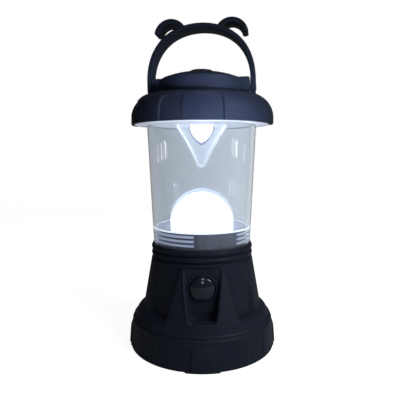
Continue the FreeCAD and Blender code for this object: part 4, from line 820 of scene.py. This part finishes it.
# area lamp at a place, turned to look at a target; sizes in metres, power in watts
def areaLamp(name, place, target, width, height, power, color, spread=180.0):
    lamp = bpy.data.lights.new(name, "AREA")
    lamp.shape = "RECTANGLE"
    lamp.size, lamp.size_y, lamp.energy, lamp.color = width, height, power, color
    lamp.spread = math.radians(spread)
    holder = bpy.data.objects.new(name, lamp)
    holder.location = place
    aim = Vector(target) - Vector(place)
    holder.rotation_euler = aim.to_track_quat("-Z", "Y").to_euler()
    bpy.context.scene.collection.objects.link(holder)
    return holder


middle = (0.0, 0.0, 0.095)
frontLamp = areaLamp("frontLamp", (0.08, -0.30, 0.05), (0.01, -0.032, 0.127), 0.05, 0.05, 0.036,
                     (0.7, 0.76, 1.0), 11.0)
frontLamp.visible_glossy = False
frontLamp.visible_transmission = False
stageParts = [
    frontLamp, areaLamp("keyLamp", (0.52, -0.46, 0.47), middle, 0.4, 0.25, 3.6, (1.0, 0.99, 0.97)),
    areaLamp("topLamp", (0.1, -0.15, 0.75), middle, 0.5, 0.4, 0.25, (1.0, 1.0, 1.0)),
    areaLamp("glintLamp", (0.012, -0.5, 0.235), (0.0, -0.034, 0.04), 0.05, 0.03, 0.11, (1.0, 1.0, 1.0)),
    areaLamp("fillLamp", (-0.5, -0.5, 0.3), middle, 0.4, 0.5, 0.02, (0.95, 0.97, 1.0))]

# streak lamps: small strips beside the lantern that leave upright lines on the globe
streaks = dict(width=0.022, height=0.034, z=0.088,
               places=((-0.6, 0.02, 0.022), (-0.585, -0.1, 0.035), (-0.579, 0.157, 0.01),
                       (0.554, -0.232, 0.018), (0.583, -0.141, 0.035), (0.589, 0.115, 0.008)))
for number, (x, y, power) in enumerate(streaks["places"]):
    stageParts.append(areaLamp("streakLamp%d" % number, (x, y, streaks["z"]), (0.0, 0.0, 0.117),
                               streaks["width"], streaks["height"], power, (1.0, 1.0, 1.0)))

# floor: a pale sheet that stays white to the camera and keeps a soft contact shadow
floorMesh = bpy.data.meshes.new("floorSheet")
floorMesh.from_pydata([(-0.8, -0.8, 0), (0.8, -0.8, 0), (0.8, 0.7, 0), (-0.8, 0.7, 0)], [], [(0, 1, 2, 3)])
floorSheet = bpy.data.objects.new("floorSheet", floorMesh)
bpy.context.scene.collection.objects.link(floorSheet)
floorMat = bpy.data.materials.new("floorPaper")
floorMat.use_nodes = True
tree = floorMat.node_tree
tree.nodes.remove(tree.nodes["Principled BSDF"])
paper = node(tree, "ShaderNodeBsdfDiffuse", {"Color": tone(0.62, 0.62, 0.63)})
glow = node(tree, "ShaderNodeEmission", {"Strength": 0.9})
ray = node(tree, "ShaderNodeLightPath")
both = node(tree, "ShaderNodeAddShader")
pick = node(tree, "ShaderNodeMixShader")
tree.links.new(ray.outputs["Is Camera Ray"], pick.inputs["Fac"])
tree.links.new(paper.outputs["BSDF"], both.inputs[0])
tree.links.new(glow.outputs["Emission"], both.inputs[1])
tree.links.new(paper.outputs["BSDF"], pick.inputs[1])
tree.links.new(both.outputs["Shader"], pick.inputs[2])
tree.links.new(pick.outputs["Shader"], tree.nodes["Material Output"].inputs["Surface"])
floorMesh.materials.append(floorMat)
floorSheet.visible_transmission = False
stageParts.append(floorSheet)

# flag: a dark card on the left, seen only in reflections, that keeps the left side deep
flagMesh = bpy.data.meshes.new("darkFlag")
flagMesh.from_pydata([(-0.7, -1.2, 0.01), (-0.7, 0.7, 0.01), (-0.7, 0.7, 1.1), (-0.7, -1.2, 1.1)], [],
                     [(0, 1, 2, 3)])
darkFlag = bpy.data.objects.new("darkFlag", flagMesh)
bpy.context.scene.collection.objects.link(darkFlag)
flagMat = bpy.data.materials.new("flagCloth")
flagMat.use_nodes = True
flagMat.node_tree.nodes["Principled BSDF"].inputs["Base Color"].default_value = tone(0.01, 0.01, 0.01)
flagMat.node_tree.nodes["Principled BSDF"].inputs["Roughness"].default_value = 0.95
flagMesh.materials.append(flagMat)
darkFlag.visible_camera = False
darkFlag.visible_transmission = False
stageParts.append(darkFlag)

# world: white to the camera, a left to right gradient through glass, a plain level for everything else
sky = dict(plain=0.085, throughLeft=0.62, throughRight=1.0, spread=0.16)
world = bpy.data.worlds.new("studioWorld")
world.use_nodes = True
bpy.context.scene.world = world
tree = world.node_tree
plainSky = tree.nodes["Background"]
plainSky.inputs["Color"].default_value = tone(1.0, 1.0, 1.0)
plainSky.inputs["Strength"].default_value = sky["plain"]
whiteSky = node(tree, "ShaderNodeBackground", {"Color": tone(1.0, 1.0, 1.0), "Strength": 1.0})
throughSky = node(tree, "ShaderNodeBackground", {"Color": tone(0.97, 0.99, 1.0)})
ray = node(tree, "ShaderNodeLightPath")
place = node(tree, "ShaderNodeTexCoord")
split = node(tree, "ShaderNodeSeparateXYZ")
slope = node(tree, "ShaderNodeMapRange", {"From Min": -sky["spread"], "From Max": sky["spread"],
                                          "To Min": sky["throughLeft"], "To Max": sky["throughRight"]})
glassPick = node(tree, "ShaderNodeMixShader")
pick = node(tree, "ShaderNodeMixShader")
tree.links.new(place.outputs["Generated"], split.inputs["Vector"])
tree.links.new(split.outputs["X"], slope.inputs["Value"])
tree.links.new(slope.outputs["Result"], throughSky.inputs["Strength"])
tree.links.new(ray.outputs["Is Transmission Ray"], glassPick.inputs["Fac"])
tree.links.new(plainSky.outputs["Background"], glassPick.inputs[1])
tree.links.new(throughSky.outputs["Background"], glassPick.inputs[2])
tree.links.new(ray.outputs["Is Camera Ray"], pick.inputs["Fac"])
tree.links.new(glassPick.outputs["Shader"], pick.inputs[1])
tree.links.new(whiteSky.outputs["Background"], pick.inputs[2])
tree.links.new(pick.outputs["Shader"], tree.nodes["World Output"].inputs["Surface"])

# camera: matched to the photo's view, looking along +Y and a little down
eye = dict(place=(-0.00107, -0.2519, 0.1130), pitch=6.0, roll=-0.2, lens=36.0 * 422.1 / 400.0)
camera = bpy.data.cameras.new("photoCamera")
camera.lens, camera.sensor_width, camera.sensor_fit = eye["lens"], 36.0, "HORIZONTAL"
camera.clip_start = 0.01
cameraHolder = bpy.data.objects.new("photoCamera", camera)
tilt = Euler((math.radians(90.0 - eye["pitch"]), 0.0, 0.0)).to_matrix()
look = tilt @ Matrix.Rotation(math.radians(eye["roll"]), 3, "Z")
cameraHolder.location = eye["place"]
cameraHolder.rotation_euler = look.to_euler()
bpy.context.scene.collection.objects.link(cameraHolder)
bpy.context.scene.camera = cameraHolder
bpy.context.scene.view_settings.view_transform = "Standard"
print("stage made")
